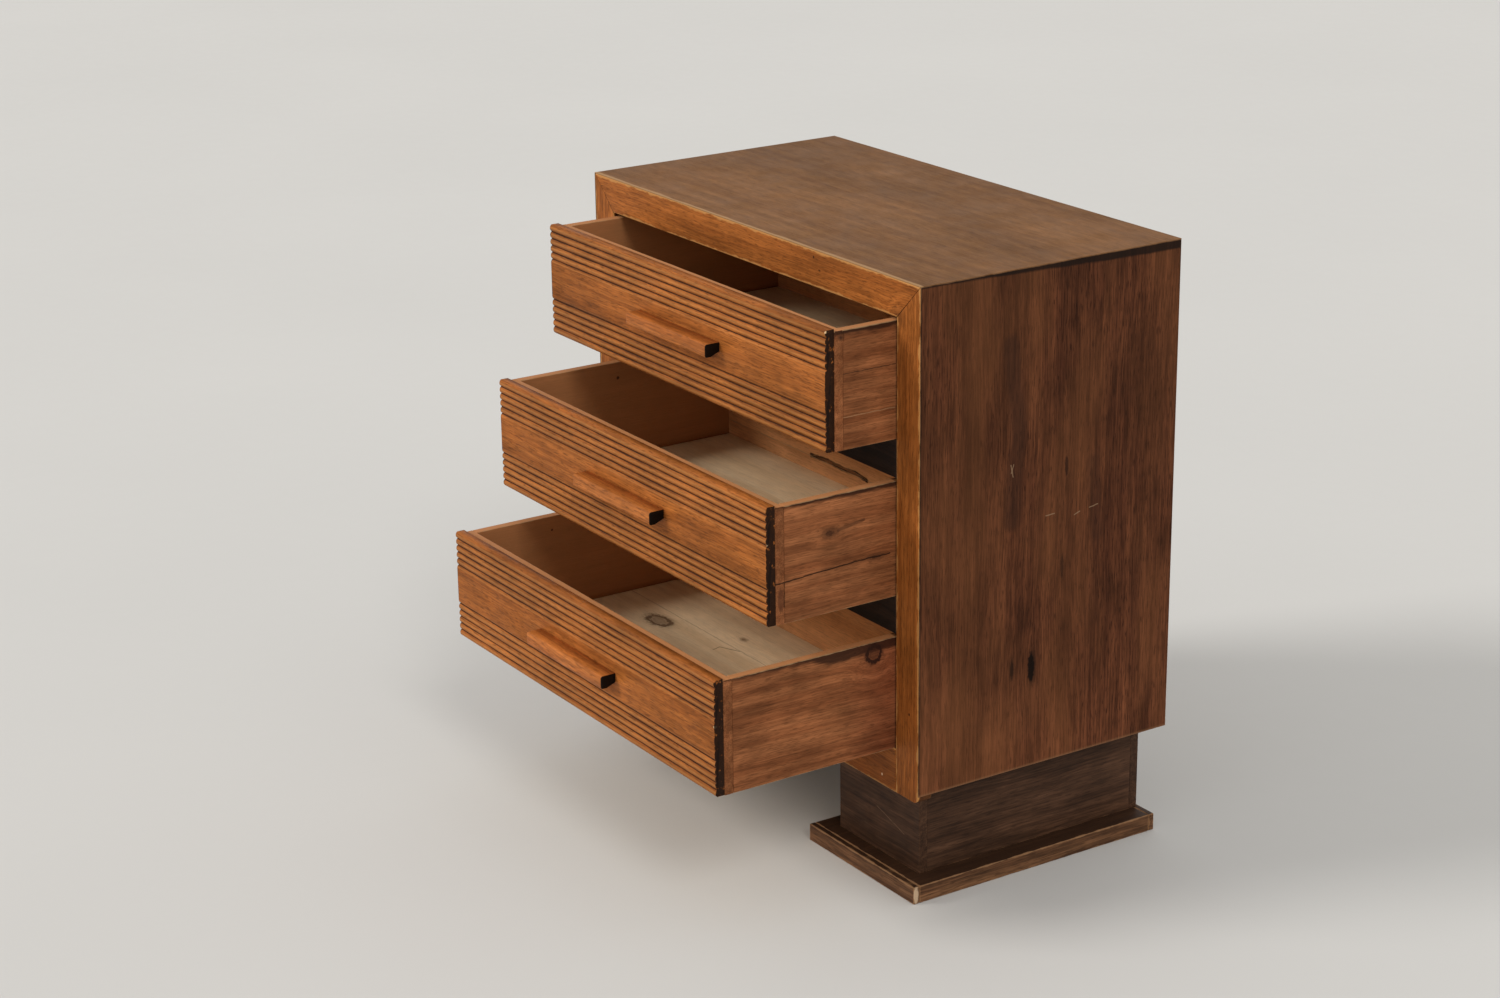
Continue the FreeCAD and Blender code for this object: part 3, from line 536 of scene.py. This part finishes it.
for side in ("left", "right"):
    fit_board(f"{side}_side_veneer", "Z", side_veneer, "side_veneer", step=12.0, wave=0.1)

top_veneer = Finish("top_veneer")
top_late, top_early = (0.163, 0.073, 0.028), (0.205, 0.096, 0.038)
top_veneer.wood(top_late, top_early, ring=12, fibre=0.12, pores=0.4, mottle=0.08, fine=0.7)
top_veneer.clouds((260, 110, 110), 0.82, 1.12)
top_front = corners_of("top_veneer")[0][1]
top_y = top_veneer.split(top_veneer.place)[1]
front_wander = top_veneer.noise(top_veneer.place, (60, 60, 60), 3)
front_band = top_veneer.math("MULTIPLY_ADD", front_wander, 7, top_front)
past_band = top_veneer.math("SUBTRACT", top_y, front_band)
top_veneer.paint(top_veneer.between(past_band, 1.6, -1.0), (0.42, 0.25, 0.12), 0.75)
top_veneer.rub((0.3, 0.16, 0.075), width=0.5, strength=0.5)
top_veneer.close(roughness=0.5, shine=0.04)
fit_board("top_veneer", "X", top_veneer, "top_veneer", step=12.0, wave=0.15, round_by=1.1)

# The front frame: two stiles and a top rail mitred together, and a bottom rail between the stiles, all
# of orange-brown stained hardwood glued to the front edges of the case. Arrises are worn bright, and the
# pale band along them is also a painted highlight.
front_late = (0.26, 0.077, 0.0155)
front_early = (0.37, 0.12, 0.026)
bright_wood = (0.56, 0.27, 0.085)


def front_wood(name, ring=7, knots=()):
    finish = Finish(name)
    for at, size, across, strength in knots:
        finish.knot(at, size, across, (0.06, 0.022, 0.009), strength)
    finish.wood(front_late, front_early, ring=ring, fibre=0.22, pores=0.6, mottle=0.1, fine=0.75)
    finish.clouds((180, 45, 45), 0.78, 1.18)
    return finish


stile_low, stile_high = corners_of("right_stile")
rail_low, rail_high = corners_of("top_rail")
opening_side = stile_low[0]
front_face = stile_low[1]
bottom_rail_top = corners_of("bottom_rail")[1][2]
nail_black = (0.02, 0.009, 0.005)
corner_knot = ((opening_side, front_face, rail_low[2]), (11, 4, 11), "X", 0.4)
frame_wood = front_wood("front_frame", knots=[corner_knot])
# The pale arrises are wear and a painted highlight.
frame_wood.rub(bright_wood, width=2.8, strength=0.8)
frame_x, frame_y, frame_z = frame_wood.split(frame_wood.place)
# Painted shade on the faces behind the front face, darkest in the joint with the side veneer.
behind_front = frame_wood.between(frame_y, front_face + 1.6, front_face + 3.4)
frame_wood.paint(behind_front, (0.05, 0.022, 0.011), 0.8)
# Painted shade: the bottom rail darkened, as if in the shadow of the lower drawer.
low_down = frame_wood.between(frame_z, bottom_rail_top + 3, bottom_rail_top - 5)
between_stiles = frame_wood.between(frame_wood.math("ABSOLUTE", frame_x), opening_side, opening_side - 0.5)
frame_wood.shade(frame_wood.math("MULTIPLY", low_down, between_stiles), 1.0, 0.72)
mitre_line = frame_wood.between(frame_wood.measure("end"), 1.3, 0.3)
upper_end = frame_wood.between(frame_z, rail_low[2] - 12, rail_low[2] - 2)
mitre_line = frame_wood.math("MULTIPLY", mitre_line, upper_end)
inner_half = frame_wood.between(frame_z, rail_high[2], rail_low[2])
frame_wood.paint(frame_wood.math("MULTIPLY", mitre_line, inner_half), nail_black, 0.75)
frame_wood.patch((331, front_face, 237), (1.6, 3, 2.2), nail_black, 0.9)
frame_wood.patch((143, front_face, 736.6), (1.7, 3, 1.7), nail_black, 0.85)
frame_wood.patch((154.5, front_face, 723), (2.6, 3, 1.3), nail_black, 0.7)
frame_wood.patch((278, front_face, 143.6), (1.3, 3, 2.0), (0.7, 0.52, 0.34), 0.85)
frame_wood.close(roughness=0.48, shine=0.06)
heel_radius = 10
heel_rows = (3.6, 5.2, 7.0, 8.5, 10.0)


def mitre_share(height):
    """How far out the mitre lies at a height: 0 at its inner corner, 1 at its outer corner."""
    return (height - rail_low[2]) / (rail_high[2] - rail_low[2])


def mitred_rail(points):
    reach = opening_side + mitre_share(points[:, 2]) * (stile_high[0] - opening_side)
    points[:, 0] *= reach / rail_high[0]
    return points


def mitred_stile(points):
    out = (np.abs(points[:, 0]) - opening_side) / (stile_high[0] - opening_side)
    top = rail_low[2] + out * (stile_high[2] - rail_low[2])
    shorter = (top - stile_low[2]) / (stile_high[2] - stile_low[2])
    points[:, 2] = stile_low[2] + (points[:, 2] - stile_low[2]) * shorter
    side = np.sign(points[:, 0])
    over = (np.abs(points[:, 0]) - (stile_high[0] - heel_radius)) / heel_radius
    under = (stile_low[2] + heel_radius - points[:, 2]) / heel_radius
    heel = (over > 0) & (under > 0)
    outward = over[heel] * np.sqrt(1 - under[heel] ** 2 / 2)
    downward = under[heel] * np.sqrt(1 - over[heel] ** 2 / 2)
    points[heel, 0] = side[heel] * (stile_high[0] - heel_radius + heel_radius * outward)
    points[heel, 2] = stile_low[2] + heel_radius - heel_radius * downward
    return points


for side, sign in (("left", -1), ("right", 1)):
    heel_x = [sign * (stile_high[0] - near) for near in heel_rows]
    heel_z = [stile_low[2] + near for near in heel_rows]
    how = {"round_by": 1.2, "more": (heel_x, (), heel_z), "butted": True}
    fit_board(f"{side}_stile", "Z", frame_wood, "frame_wood", mitred_stile, **how)
fit_board("top_rail", "X", frame_wood, "frame_wood", mitred_rail, round_by=1.0, butted=True)
fit_board("bottom_rail", "X", frame_wood, "frame_wood", round_by=1.2, butted=True)

# The two rails between the drawers: hardwood strips as thick as the frame, glued between its stiles and
# stained nearly black, a stain that is also painted shade, so that the gaps read as shadow when the drawers
# are shut.
rail_stain_and_shade = Finish("dark_rail")
rail_stain_and_shade.wood(late=(0.008, 0.004, 0.003), early=(0.022, 0.011, 0.007), ring=9)
rail_stain_and_shade.rub((0.075, 0.033, 0.016), width=0.9, strength=0.6)
rail_stain_and_shade.close(roughness=0.5)
for level in ("upper", "lower"):
    fit_board(f"{level}_drawer_rail", "X", rail_stain_and_shade, "dark_rail")

# The feet: each a hollow block of four glued boards on a wider plate that is lipped front and rear,
# screwed up into the case. Dark brown, with the plate's rim worn to bare wood.
foot_wood = Finish("foot_wood")
foot_wood.wood(late=(0.055, 0.025, 0.013), early=(0.095, 0.045, 0.024), ring=7, fibre=0.3)
foot_wood.clouds((120, 40, 40), 0.7, 1.15)
foot_wood.rub((0.24, 0.125, 0.062), width=0.9, strength=0.5)
foot_wood.line([(285, -158, 62), (230, -158, 78)], 0.9, (0.2, 0.11, 0.06), 0.7)
foot_wood.close(roughness=0.5, shine=0.12)
plate_wood = Finish("foot_plate_wood")
plate_wood.wood(late=(0.085, 0.036, 0.016), early=(0.18, 0.084, 0.038), ring=6, length=260, fibre=0.35)
# Painted shade: the plate's top face under the case, down to the top of its rim, darkened.
plate_z = plate_wood.split(plate_wood.place)[2]
plate_top = corners_of("right_foot_plate")[1][2]
plate_wood.paint(plate_wood.between(plate_z, plate_top - 1.0, plate_top - 0.2), (0.03, 0.014, 0.008), 0.85)
plate_wood.rub((0.33, 0.175, 0.082), width=1.7, strength=0.7)
# Pale end grain at the plate's front right corner, painted lighter as a highlight there.
plate_wood.patch((342, -181.5, 11), (3, 3.6, 12), (0.62, 0.44, 0.28), 0.85)
plate_wood.close(roughness=0.5, shine=0.12)
for side in ("left", "right"):
    for board, grain in (("outer", "Y"), ("inner", "Y"), ("front", "X"), ("back", "X")):
        fit_board(f"{side}_foot_{board}_board", grain, foot_wood, "foot_wood", round_by=0.5, butted=True)
    fit_board(f"{side}_foot_plate", "Y", plate_wood, "foot_wood", round_by=1.6)
lip_low, lip_high = corners_of("foot_lippings")
plate_low, plate_high = corners_of("right_foot_plate")
lippings = []
for sign in (-1, 1):
    across = sorted((sign * plate_low[0], sign * plate_high[0]))
    for front, rear in ((lip_low[1], plate_low[1]), (plate_high[1], lip_high[1])):
        corners = ((across[0], front, lip_low[2]), (across[1], rear, lip_high[2]))
        seed = seed_of(f"lipping {sign} {front}")
        lippings.append(worn_board(corners, "X", seed, round_by=1.6, step=6.0))
fit(join(lippings), "foot_lippings", plate_wood)
fit_screws("foot_screws", "Z")

# The drawer boxes: softwood boards, butted and glued, stained brown outside and worn where hands and
# runners rub. The backs are paler, the middle one pieced of two boards that have come apart at one
# place, and the bottoms are pale plywood let into grooves.
drawer_wood = Finish("drawer_box_wood")
dark_knot = (0.035, 0.014, 0.008)
outer_face = corners_of("lower_right_side")[1][0]
inner_left = corners_of("lower_left_side")[1][0]
drawer_wood.knot((outer_face, -274, 467), (4, 9, 5), "Z", dark_knot, 0.75)
drawer_wood.knot((outer_face, -211, 426), (4, 11, 4), "Z", dark_knot, 0.5)
drawer_wood.knot((outer_face, -214, 309), (5, 10.5, 10.5), "Z", dark_knot, 1.0, ringed=True)
drawer_wood.knot((outer_face, -258, 690), (3, 3.5, 3), "Z", dark_knot, 0.8)
box_late, box_early = (0.213, 0.071, 0.026), (0.308, 0.114, 0.044)
drawer_wood.wood(box_late, box_early, ring=9, wander=9, fibre=0.22, pores=0.5, fine=0.7)
drawer_wood.clouds((90, 45, 45), 0.74, 1.15)
box_x, box_y, box_z = drawer_wood.split(drawer_wood.place)
box_foot = corners_of("lower_right_side")[0][2]
box_height = corners_of("lower_right_side")[1][2] - box_foot
drawer_pitch = corners_of("middle_right_side")[0][2] - box_foot
above_foot = drawer_wood.math("FLOORED_MODULO", drawer_wood.math("SUBTRACT", box_z, box_foot), drawer_pitch)
outside = drawer_wood.between(drawer_wood.math("ABSOLUTE", box_x), outer_face - 1.4, outer_face - 0.4)
# A near-black band along the top of each drawer side's outside, wider towards the rear.
band_reach = drawer_wood.noise(drawer_wood.place, (40, 40, 8), 3)
band_reach = drawer_wood.math("MULTIPLY_ADD", band_reach, 16, above_foot)
# The inside faces paler and more orange: bare wood, and painted light falling into the open drawers.
drawer_wood.paint(drawer_wood.math("SUBTRACT", 1, outside), (0.5, 0.225, 0.09), 0.7)
lowest = drawer_wood.between(box_z, box_foot + box_height + 10, box_foot + box_height + 6)
rear_half = drawer_wood.math("MULTIPLY", drawer_wood.between(box_y, -305, -262), lowest)
band_reach = drawer_wood.math("MULTIPLY_ADD", rear_half, 7, band_reach)
band_reach = drawer_wood.math("MULTIPLY_ADD", drawer_wood.between(box_y, -340, -190), 2.5, band_reach)
top_band = drawer_wood.math("MULTIPLY", drawer_wood.between(band_reach, box_height + 1, box_height + 7), outside)
drawer_wood.paint(top_band, (0.03, 0.012, 0.007), 0.9)
reddened = drawer_wood.math("MULTIPLY", drawer_wood.between(box_y, -270, -190), lowest)
drawer_wood.tint(drawer_wood.math("MULTIPLY", reddened, outside), (0.88, 0.77, 0.82))
crack_and_shade_black = (0.02, 0.009, 0.005)
crack = ((-348, 421), (-293, 424), (-243, 426), (-192, 426.6))
drawer_wood.line([(outer_face, *point) for point in crack], 1.2, crack_and_shade_black, 0.9, depth=0.4)
drawer_wood.line([(outer_face, -262, 468), (outer_face, -228, 474)], 3.0, dark_knot, 0.55)
drawer_wood.line([(outer_face, -335.5, 421), (outer_face, -335.5, 393)], 1.0, crack_and_shade_black, 0.85, depth=0.3)
drawer_wood.patch((outer_face, -340, 402), (4, 4.5, 15), (0.09, 0.03, 0.014), 0.7)
drawer_wood.line([(outer_face, -255, 648), (outer_face, -185, 648)], 1.0, (0.05, 0.02, 0.01), 0.8)
drawer_wood.line([(outer_face, -255, 598), (outer_face, -185, 598)], 0.9, (0.42, 0.24, 0.12), 0.5)
drawer_wood.patch((inner_left, -194, 490), (4, 2.4, 2.4), dark_knot, 0.85)
drawer_wood.patch((inner_left, -298, 305), (4, 1.8, 1.8), dark_knot, 0.85)
drawer_wood.rub((0.46, 0.28, 0.14), width=0.9, strength=0.65)
drawer_wood.close(roughness=0.55, shine=0.05)

rear_wood = Finish("drawer_back_wood")
rear_late, rear_early = (0.61, 0.275, 0.11), (0.72, 0.345, 0.145)
rear_wood.wood(rear_late, rear_early, ring=14, fibre=0.1, pores=0.3, mottle=0.06, fine=0.7)
rear_wood.clouds((150, 60, 60), 0.85, 1.06)
joint_height = 20
slit_width = 5
slit_start, slit_end = -98, 24
splinter_length = 14.0
lifted_height = 20
back_face, back_foot = corners_of("middle_back")[0][1:]
slit_points = []
for share, rise in ((0, -1), (0.3, 1.5), (0.55, -1), (0.8, 1.5), (1, -2)):
    along = slit_start + share * (slit_end - slit_start)
    slit_points.append((along, back_face, back_foot + joint_height + 2 + rise))
# Painted shade: the boards' edges along the slit painted black, like the dark gap through to the case.
rear_wood.line(slit_points, 4.2, crack_and_shade_black, 1.0)
rear_wood.rub((0.46, 0.28, 0.14), width=0.9, strength=0.65)
rear_wood.close(roughness=0.6, shine=0.05)

pale_ply = Finish("drawer_bottom_ply")
floor_level = corners_of("lower_bottom")[1][2]
pale_ply.knot((-176, -210, floor_level), (22, 12, 5), "Y", (0.11, 0.052, 0.024), 0.85, ringed=True)
pale_ply.knot((-58, -158, floor_level), (6, 4, 5), "Y", (0.17, 0.085, 0.038), 0.7)
ply_late, ply_early = (0.79, 0.56, 0.325), (0.87, 0.655, 0.41)
pale_ply.wood(ply_late, ply_early, ring=24, fibre=0.05, pores=0.15, mottle=0.04)
pale_ply.clouds((200, 120, 120), 0.9, 1.04)
pale_ply.line([(-290, -182, floor_level), (290, -184, floor_level)], 1.3, (0.4, 0.26, 0.14), 0.55)
split = [(-52, -207, floor_level), (-55, -196, floor_level), (-28, -184, floor_level)]
pale_ply.line(split, 1.5, (0.22, 0.12, 0.06), 0.7)
pale_ply.close(roughness=0.6)

GROOVE_PLAY = 0.2
SHARP = 0.02


def press(points, inside, axis, kept, face, floor):
    """Presses the face in to the floor of a groove where inside is true; the kept face stays."""
    points[inside, axis] = kept + (points[inside, axis] - kept) * (floor - kept) / (face - kept)
    return points


def fit_drawer_side(node, bottom):
    """A side board with the groove that takes the edge of the bottom."""
    low, high = corners_of(node)
    bottom_low, bottom_high = corners_of(bottom)
    kept, face, floor = high[0], low[0], bottom_high[0] + GROOVE_PLAY
    if low[0] < 0:
        kept, face, floor = low[0], high[0], bottom_low[0] - GROOVE_PLAY
    under, over = bottom_low[2], bottom_high[2] + GROOVE_PLAY

    def groove(points):
        inside = (points[:, 2] > under - SHARP / 2) & (points[:, 2] < over + SHARP / 2)
        return press(points, inside, 0, kept, face, floor)

    more = ((), (), (under - SHARP, under, over, over + SHARP))
    fit_board(node, "Y", drawer_wood, "drawer_box", groove, more=more, butted=True)


def fit_box_front(node, bottom):
    """The board behind the facing, grooved across its back between the sides."""
    low, high = corners_of(node)
    bottom_low, bottom_high = corners_of(bottom)
    reach = bottom_high[0] + GROOVE_PLAY
    under, over = bottom_low[2], bottom_high[2] + GROOVE_PLAY

    def groove(points):
        inside = (points[:, 2] > under - SHARP / 2) & (points[:, 2] < over + SHARP / 2)
        inside &= np.abs(points[:, 0]) < reach + SHARP / 2
        return press(points, inside, 1, low[1], high[1], bottom_low[1] - GROOVE_PLAY)

    across = [side * (reach + edge) for side in (-1, 1) for edge in (0, SHARP)]
    more = (across, (), (under - SHARP, under, over, over + SHARP))
    fit_board(node, "X", drawer_wood, "drawer_box", groove, more=more, butted=True)


def fit_pieced_back(node):
    """Two boards edge to edge. Where the glue has let go, the upper one has lifted and left a slit."""
    low, high = corners_of(node)
    joint = low[2] + joint_height
    edges = {"round_by": 0.25, "butted": True}
    lower = worn_board((low, (*high[:2], joint)), "X", seed_of(node), **edges)
    upper = worn_board(((*low[:2], joint), high), "X", seed_of(node) + 7, step=5.0, **edges)
    points = upper["points"]
    share = np.clip((points[:, 0] - slit_start) / (slit_end - slit_start), 0, 1)
    ragged = 0.6 + 0.6 * lumps(points * (1, 0, 0), splinter_length, seed=5)
    gap = slit_width * np.sqrt(np.sin(math.pi * share).clip(0)) * ragged
    points[:, 2] += gap * np.clip(1 - (points[:, 2] - joint) / lifted_height, 0, 1)
    fit(join([lower, upper]), node, rear_wood)


# The drawer facings: solid boards glued to the box fronts, with five round reeds planed along the top
# and five along the bottom. Wax and dirt blacken the hollows, painted near black as their shade too, and
# the crests are rubbed bright, painted lighter as a highlight too.
REED_PITCH = 8.8
REED_RADIUS = 5.2
REED_COUNT = 5
REED_STEPS = 10
HALF_REED_STEPS = 5
facing_wood = front_wood("drawer_facing")
# The hollows darkened: wax and dirt, and painted shade. The crests lightened: wear, and a painted
# highlight.
hollow = facing_wood.measure("hollow")
hollow_dirt_and_shade = facing_wood.noise(facing_wood.grain, (60, 6, 6), 3)
hollow_dirt_and_shade = facing_wood.math("MULTIPLY_ADD", hollow_dirt_and_shade, 0.7, hollow)
facing_wood.paint(facing_wood.between(hollow_dirt_and_shade, 0.74, 1.2), (0.03, 0.0095, 0.004), 0.95)
facing_wood.paint(facing_wood.between(facing_wood.measure("crest"), 0.75, 1.0), bright_wood, 0.25)
chips = ((302, -278, 699), (302, -358, 470), (302, -429, 271))
for chip in chips:
    facing_wood.patch(chip, (2.2, 3, 1.6), (0.72, 0.5, 0.28), 0.8)
ragged_end = facing_wood.noise(facing_wood.place, (5, 5, 5), 3)
ragged_end = facing_wood.math("MULTIPLY_ADD", ragged_end, -5.0, 3.2)
from_end = facing_wood.math("SUBTRACT", facing_wood.measure("end"), ragged_end)
facing_wood.paint(facing_wood.between(from_end, 0.3, -0.2), (0.012, 0.006, 0.004), 0.95)
facing_wood.close(roughness=0.48, shine=0.06)


def reed_depth(across):
    """How far below a reed's crest its surface lies, that far across from the crest."""
    return REED_RADIUS - math.sqrt(REED_RADIUS**2 - across**2)


def reed_band(first, toward_top):
    """The points of a band of reeds, from its outer edge inwards: height and depth pairs.

    After the last reed comes half of one more, which runs out into the flat middle of the facing."""
    points = []
    half = REED_PITCH / 2
    for reed in range(REED_COUNT):
        for step in range(REED_STEPS):
            across = -half + REED_PITCH * step / REED_STEPS
            points.append((first + toward_top * (reed * REED_PITCH + half + across), reed_depth(across)))
    edge = first + toward_top * REED_COUNT * REED_PITCH
    for step in range(HALF_REED_STEPS + 1):
        across = -half + half * step / HALF_REED_STEPS
        points.append((edge + toward_top * (half + across), reed_depth(across)))
    return points


def extrude(outline, lines, grain_shift, ends=0.45):
    """A bar of the outline's section (depth along Y, height along Z) with rings at the places along X."""
    outline = np.array(outline)
    count = len(outline)
    following, previous = np.roll(outline, -1, axis=0), np.roll(outline, 1, axis=0)
    ahead = following - outline
    ahead = ahead / np.linalg.norm(ahead, axis=1)[:, None]
    behind = outline - previous
    behind = behind / np.linalg.norm(behind, axis=1)[:, None]
    tangent = ahead + behind
    inward = np.stack([-tangent[:, 1], tangent[:, 0]], axis=1)
    inward /= np.maximum(np.linalg.norm(inward, axis=1), 1e-6)[:, None]
    area = np.sum(outline[:, 0] * following[:, 1] - outline[:, 1] * following[:, 0])
    inward *= np.sign(area)
    points, end = [], []
    for place in lines:
        near = min(place - lines[0], lines[-1] - place)
        drop = ends - math.sqrt(max(0.0, ends**2 - (ends - min(near, ends)) ** 2))
        ring = outline + inward * drop
        points += [(place, depth, height) for depth, height in ring]
        end += [near] * count
    points = np.array(points)
    faces = []
    for ring in range(len(lines) - 1):
        for spot in range(count):
            after = (spot + 1) % count
            here, beyond = ring * count, (ring + 1) * count
            quad = [here + spot, here + after, beyond + after, beyond + spot]
            faces.append(quad if area > 0 else quad[::-1])
    cap = list(range(count))
    far_cap = [(len(lines) - 1) * count + spot for spot in range(count)]
    faces.append(cap[::-1] if area > 0 else cap)
    faces.append(far_cap if area > 0 else far_cap[::-1])
    return {"points": points, "faces": faces, "grain": points + grain_shift, "end": np.array(end, float)}


def fit_facing(node):
    low, high = corners_of(node)
    lower_band = reed_band(low[2], 1)
    upper_band = reed_band(high[2], -1)
    flat = np.linspace(lower_band[-1][0], upper_band[-1][0], 9)[1:-1]
    front = lower_band + [(height, 0.0) for height in flat] + upper_band[::-1]
    section = [(low[1] + depth, height) for height, depth in front]
    section += [(high[1], high[2]), (high[1], low[2])]
    lines = rows(low[0], high[0], 7.0)
    shift = np.random.default_rng(seed_of(node)).uniform(-GRAIN_REACH, GRAIN_REACH, 3)
    part = extrude(section, lines, shift)
    cusp = reed_depth(REED_PITCH / 2)
    flat_low, flat_high = lower_band[-1][0], upper_band[-1][0]
    hollow, crest = [], []
    for height, depth in front:
        outermost = min(height - low[2], high[2] - height) < REED_PITCH / 2
        flat_part = flat_low <= height <= flat_high
        hollow.append(0.0 if outermost else depth / cusp)
        crest.append(0.0 if flat_part else 1 - depth / cusp)
    part["hollow"] = np.tile(hollow + [0.0, 0.0], len(lines))
    part["crest"] = np.tile(crest + [0.5, 0.5], len(lines))
    return fit(part, node, facing_wood)


# The pulls: hardwood bars undercut behind the lower edge for the fingers, rounded in front, their ends
# stained black, each held by two screws from inside the drawer.
PULL_LIP = 8
PULL_UNDERCUT = 5
PULL_ROUNDING = 3
pull_wood = front_wood("pull_wood", ring=6)
pull_wood.shade(1, 1.0, 1.22)
pull_wood.paint(pull_wood.between(pull_wood.measure("end"), 0.9, 0.3), (0.006, 0.004, 0.003), 1.0)
pull_wood.close(roughness=0.42, shine=0.1)


def fit_pull(node):
    low, high = corners_of(node)
    turn = [math.radians(5 + 20 * step) for step in range(5)]
    section = [(high[1], high[2])]
    for angle in turn:
        inward, down = 1 - math.sin(angle), 1 - math.cos(angle)
        section.append((low[1] + PULL_ROUNDING * inward, high[2] - PULL_ROUNDING * down))
    for angle in turn:
        inward, up = 1 - math.cos(angle), 1 - math.sin(angle)
        section.append((low[1] + PULL_ROUNDING * inward, low[2] + PULL_ROUNDING * up))
    section += [(low[1] + PULL_LIP, low[2]), (high[1], low[2] + PULL_UNDERCUT)]
    shift = np.random.default_rng(seed_of(node)).uniform(-GRAIN_REACH, GRAIN_REACH, 3)
    part = extrude(section, rows(low[0], high[0], 6.0), shift, ends=0.9)
    return fit(part, node, pull_wood)


for drawer in ("upper", "middle", "lower"):
    fit_box_front(f"{drawer}_box_front", f"{drawer}_bottom")
    for side in ("left", "right"):
        fit_drawer_side(f"{drawer}_{side}_side", f"{drawer}_bottom")
    if drawer == "middle":
        fit_pieced_back("middle_back")
    else:
        fit_board(f"{drawer}_back", "X", rear_wood, "drawer_box", round_by=0.6, butted=True)
    fit_board(f"{drawer}_bottom", "X", pale_ply, "drawer_bottom", step=14.0)
    fit_facing(f"{drawer}_facing")
    fit_pull(f"{drawer}_pull")
    fit_screws(f"{drawer}_pull_screws", "Y")

# The studio: a plain pale floor in an even pale surround, with one soft light from the front left that
# gives the pulls and reeds their shadows, and a weaker one from the right.
scene = bpy.context.scene
scene.view_settings.view_transform = "Standard"
floor_finish = Finish("pale_floor", "X")
floor_finish.colour = (0.62, 0.61, 0.59)
floor_finish.shade(floor_finish.noise(floor_finish.place, (900, 900, 900), 2), 0.97, 1.03)
floor_finish.close(roughness=0.7)
floor_mesh = bpy.data.meshes.new("floor")
reach = 40.0
floor_corners = [(-reach, -reach, 0), (reach, -reach, 0), (reach, reach, 0), (-reach, reach, 0)]
floor_mesh.from_pydata(floor_corners, [], [(0, 1, 2, 3)])
floor_mesh.materials.append(floor_finish.material)
floor = bpy.data.objects.new("floor", floor_mesh)
scene.collection.objects.link(floor)

surround = bpy.data.worlds.new("surround")
surround.use_nodes = True
around = surround.node_tree
glow_around = around.nodes["Background"]
glow_around.inputs["Color"].default_value = (0.95, 0.945, 0.93, 1)
glow_around.inputs["Strength"].default_value = 0.67
plain_wall = around.nodes.new("ShaderNodeBackground")
plain_wall.inputs["Color"].default_value = (0.7, 0.69, 0.665, 1)
ray = around.nodes.new("ShaderNodeLightPath").outputs
seen = ray["Is Camera Ray"]
for kind in ("Is Glossy Ray", "Is Transmission Ray"):
    more_rays = around.nodes.new("ShaderNodeMath")
    more_rays.operation = "MAXIMUM"
    around.links.new(seen, more_rays.inputs[0])
    around.links.new(ray[kind], more_rays.inputs[1])
    seen = more_rays.outputs[0]
either = around.nodes.new("ShaderNodeMixShader")
around.links.new(seen, either.inputs[0])
around.links.new(glow_around.outputs[0], either.inputs[1])
around.links.new(plain_wall.outputs[0], either.inputs[2])
around.links.new(either.outputs[0], around.nodes["World Output"].inputs["Surface"])
scene.world = surround


def soft_light(name, azimuth, height, strength, colour):
    """A broad lamp far off, so that its light falls evenly. Azimuth 0 is straight in front."""
    lamp = bpy.data.lights.new(name, "SUN")
    lamp.angle = math.radians(18)
    lamp.energy = strength
    lamp.color = colour
    holder = bpy.data.objects.new(name, lamp)
    scene.collection.objects.link(holder)
    holder.rotation_euler = (math.radians(90 - height), 0, math.radians(azimuth))


soft_light("key", -28, 33, 1.65, (1.0, 0.98, 0.95))
soft_light("fill", 74, 42, 0.75, (1.0, 0.98, 0.95))

# The camera stands to the right of the front, at about eye height, and looks a little down. It is held
# almost level, with a long lens.
azimuth, elevation, roll = math.radians(57.10), math.radians(18.857), math.radians(-0.796)
aside, ahead = math.sin(azimuth), -math.cos(azimuth)
back = Vector((aside * math.cos(elevation), ahead * math.cos(elevation), math.sin(elevation)))
level = (-back).cross(Vector((0, 0, 1))).normalized()
upright = level.cross(-back)
right = math.cos(roll) * level + math.sin(roll) * upright
up = -math.sin(roll) * level + math.cos(roll) * upright
camera = bpy.data.cameras.new("camera")
camera.sensor_width = 36
camera.lens = 72.41
stand = bpy.data.objects.new("camera", camera)
scene.collection.objects.link(stand)
turned = Matrix((right, up, back)).transposed().to_4x4()
turned.translation = (2.908, -2.0646, 1.58795)
stand.matrix_world = turned
scene.camera = stand
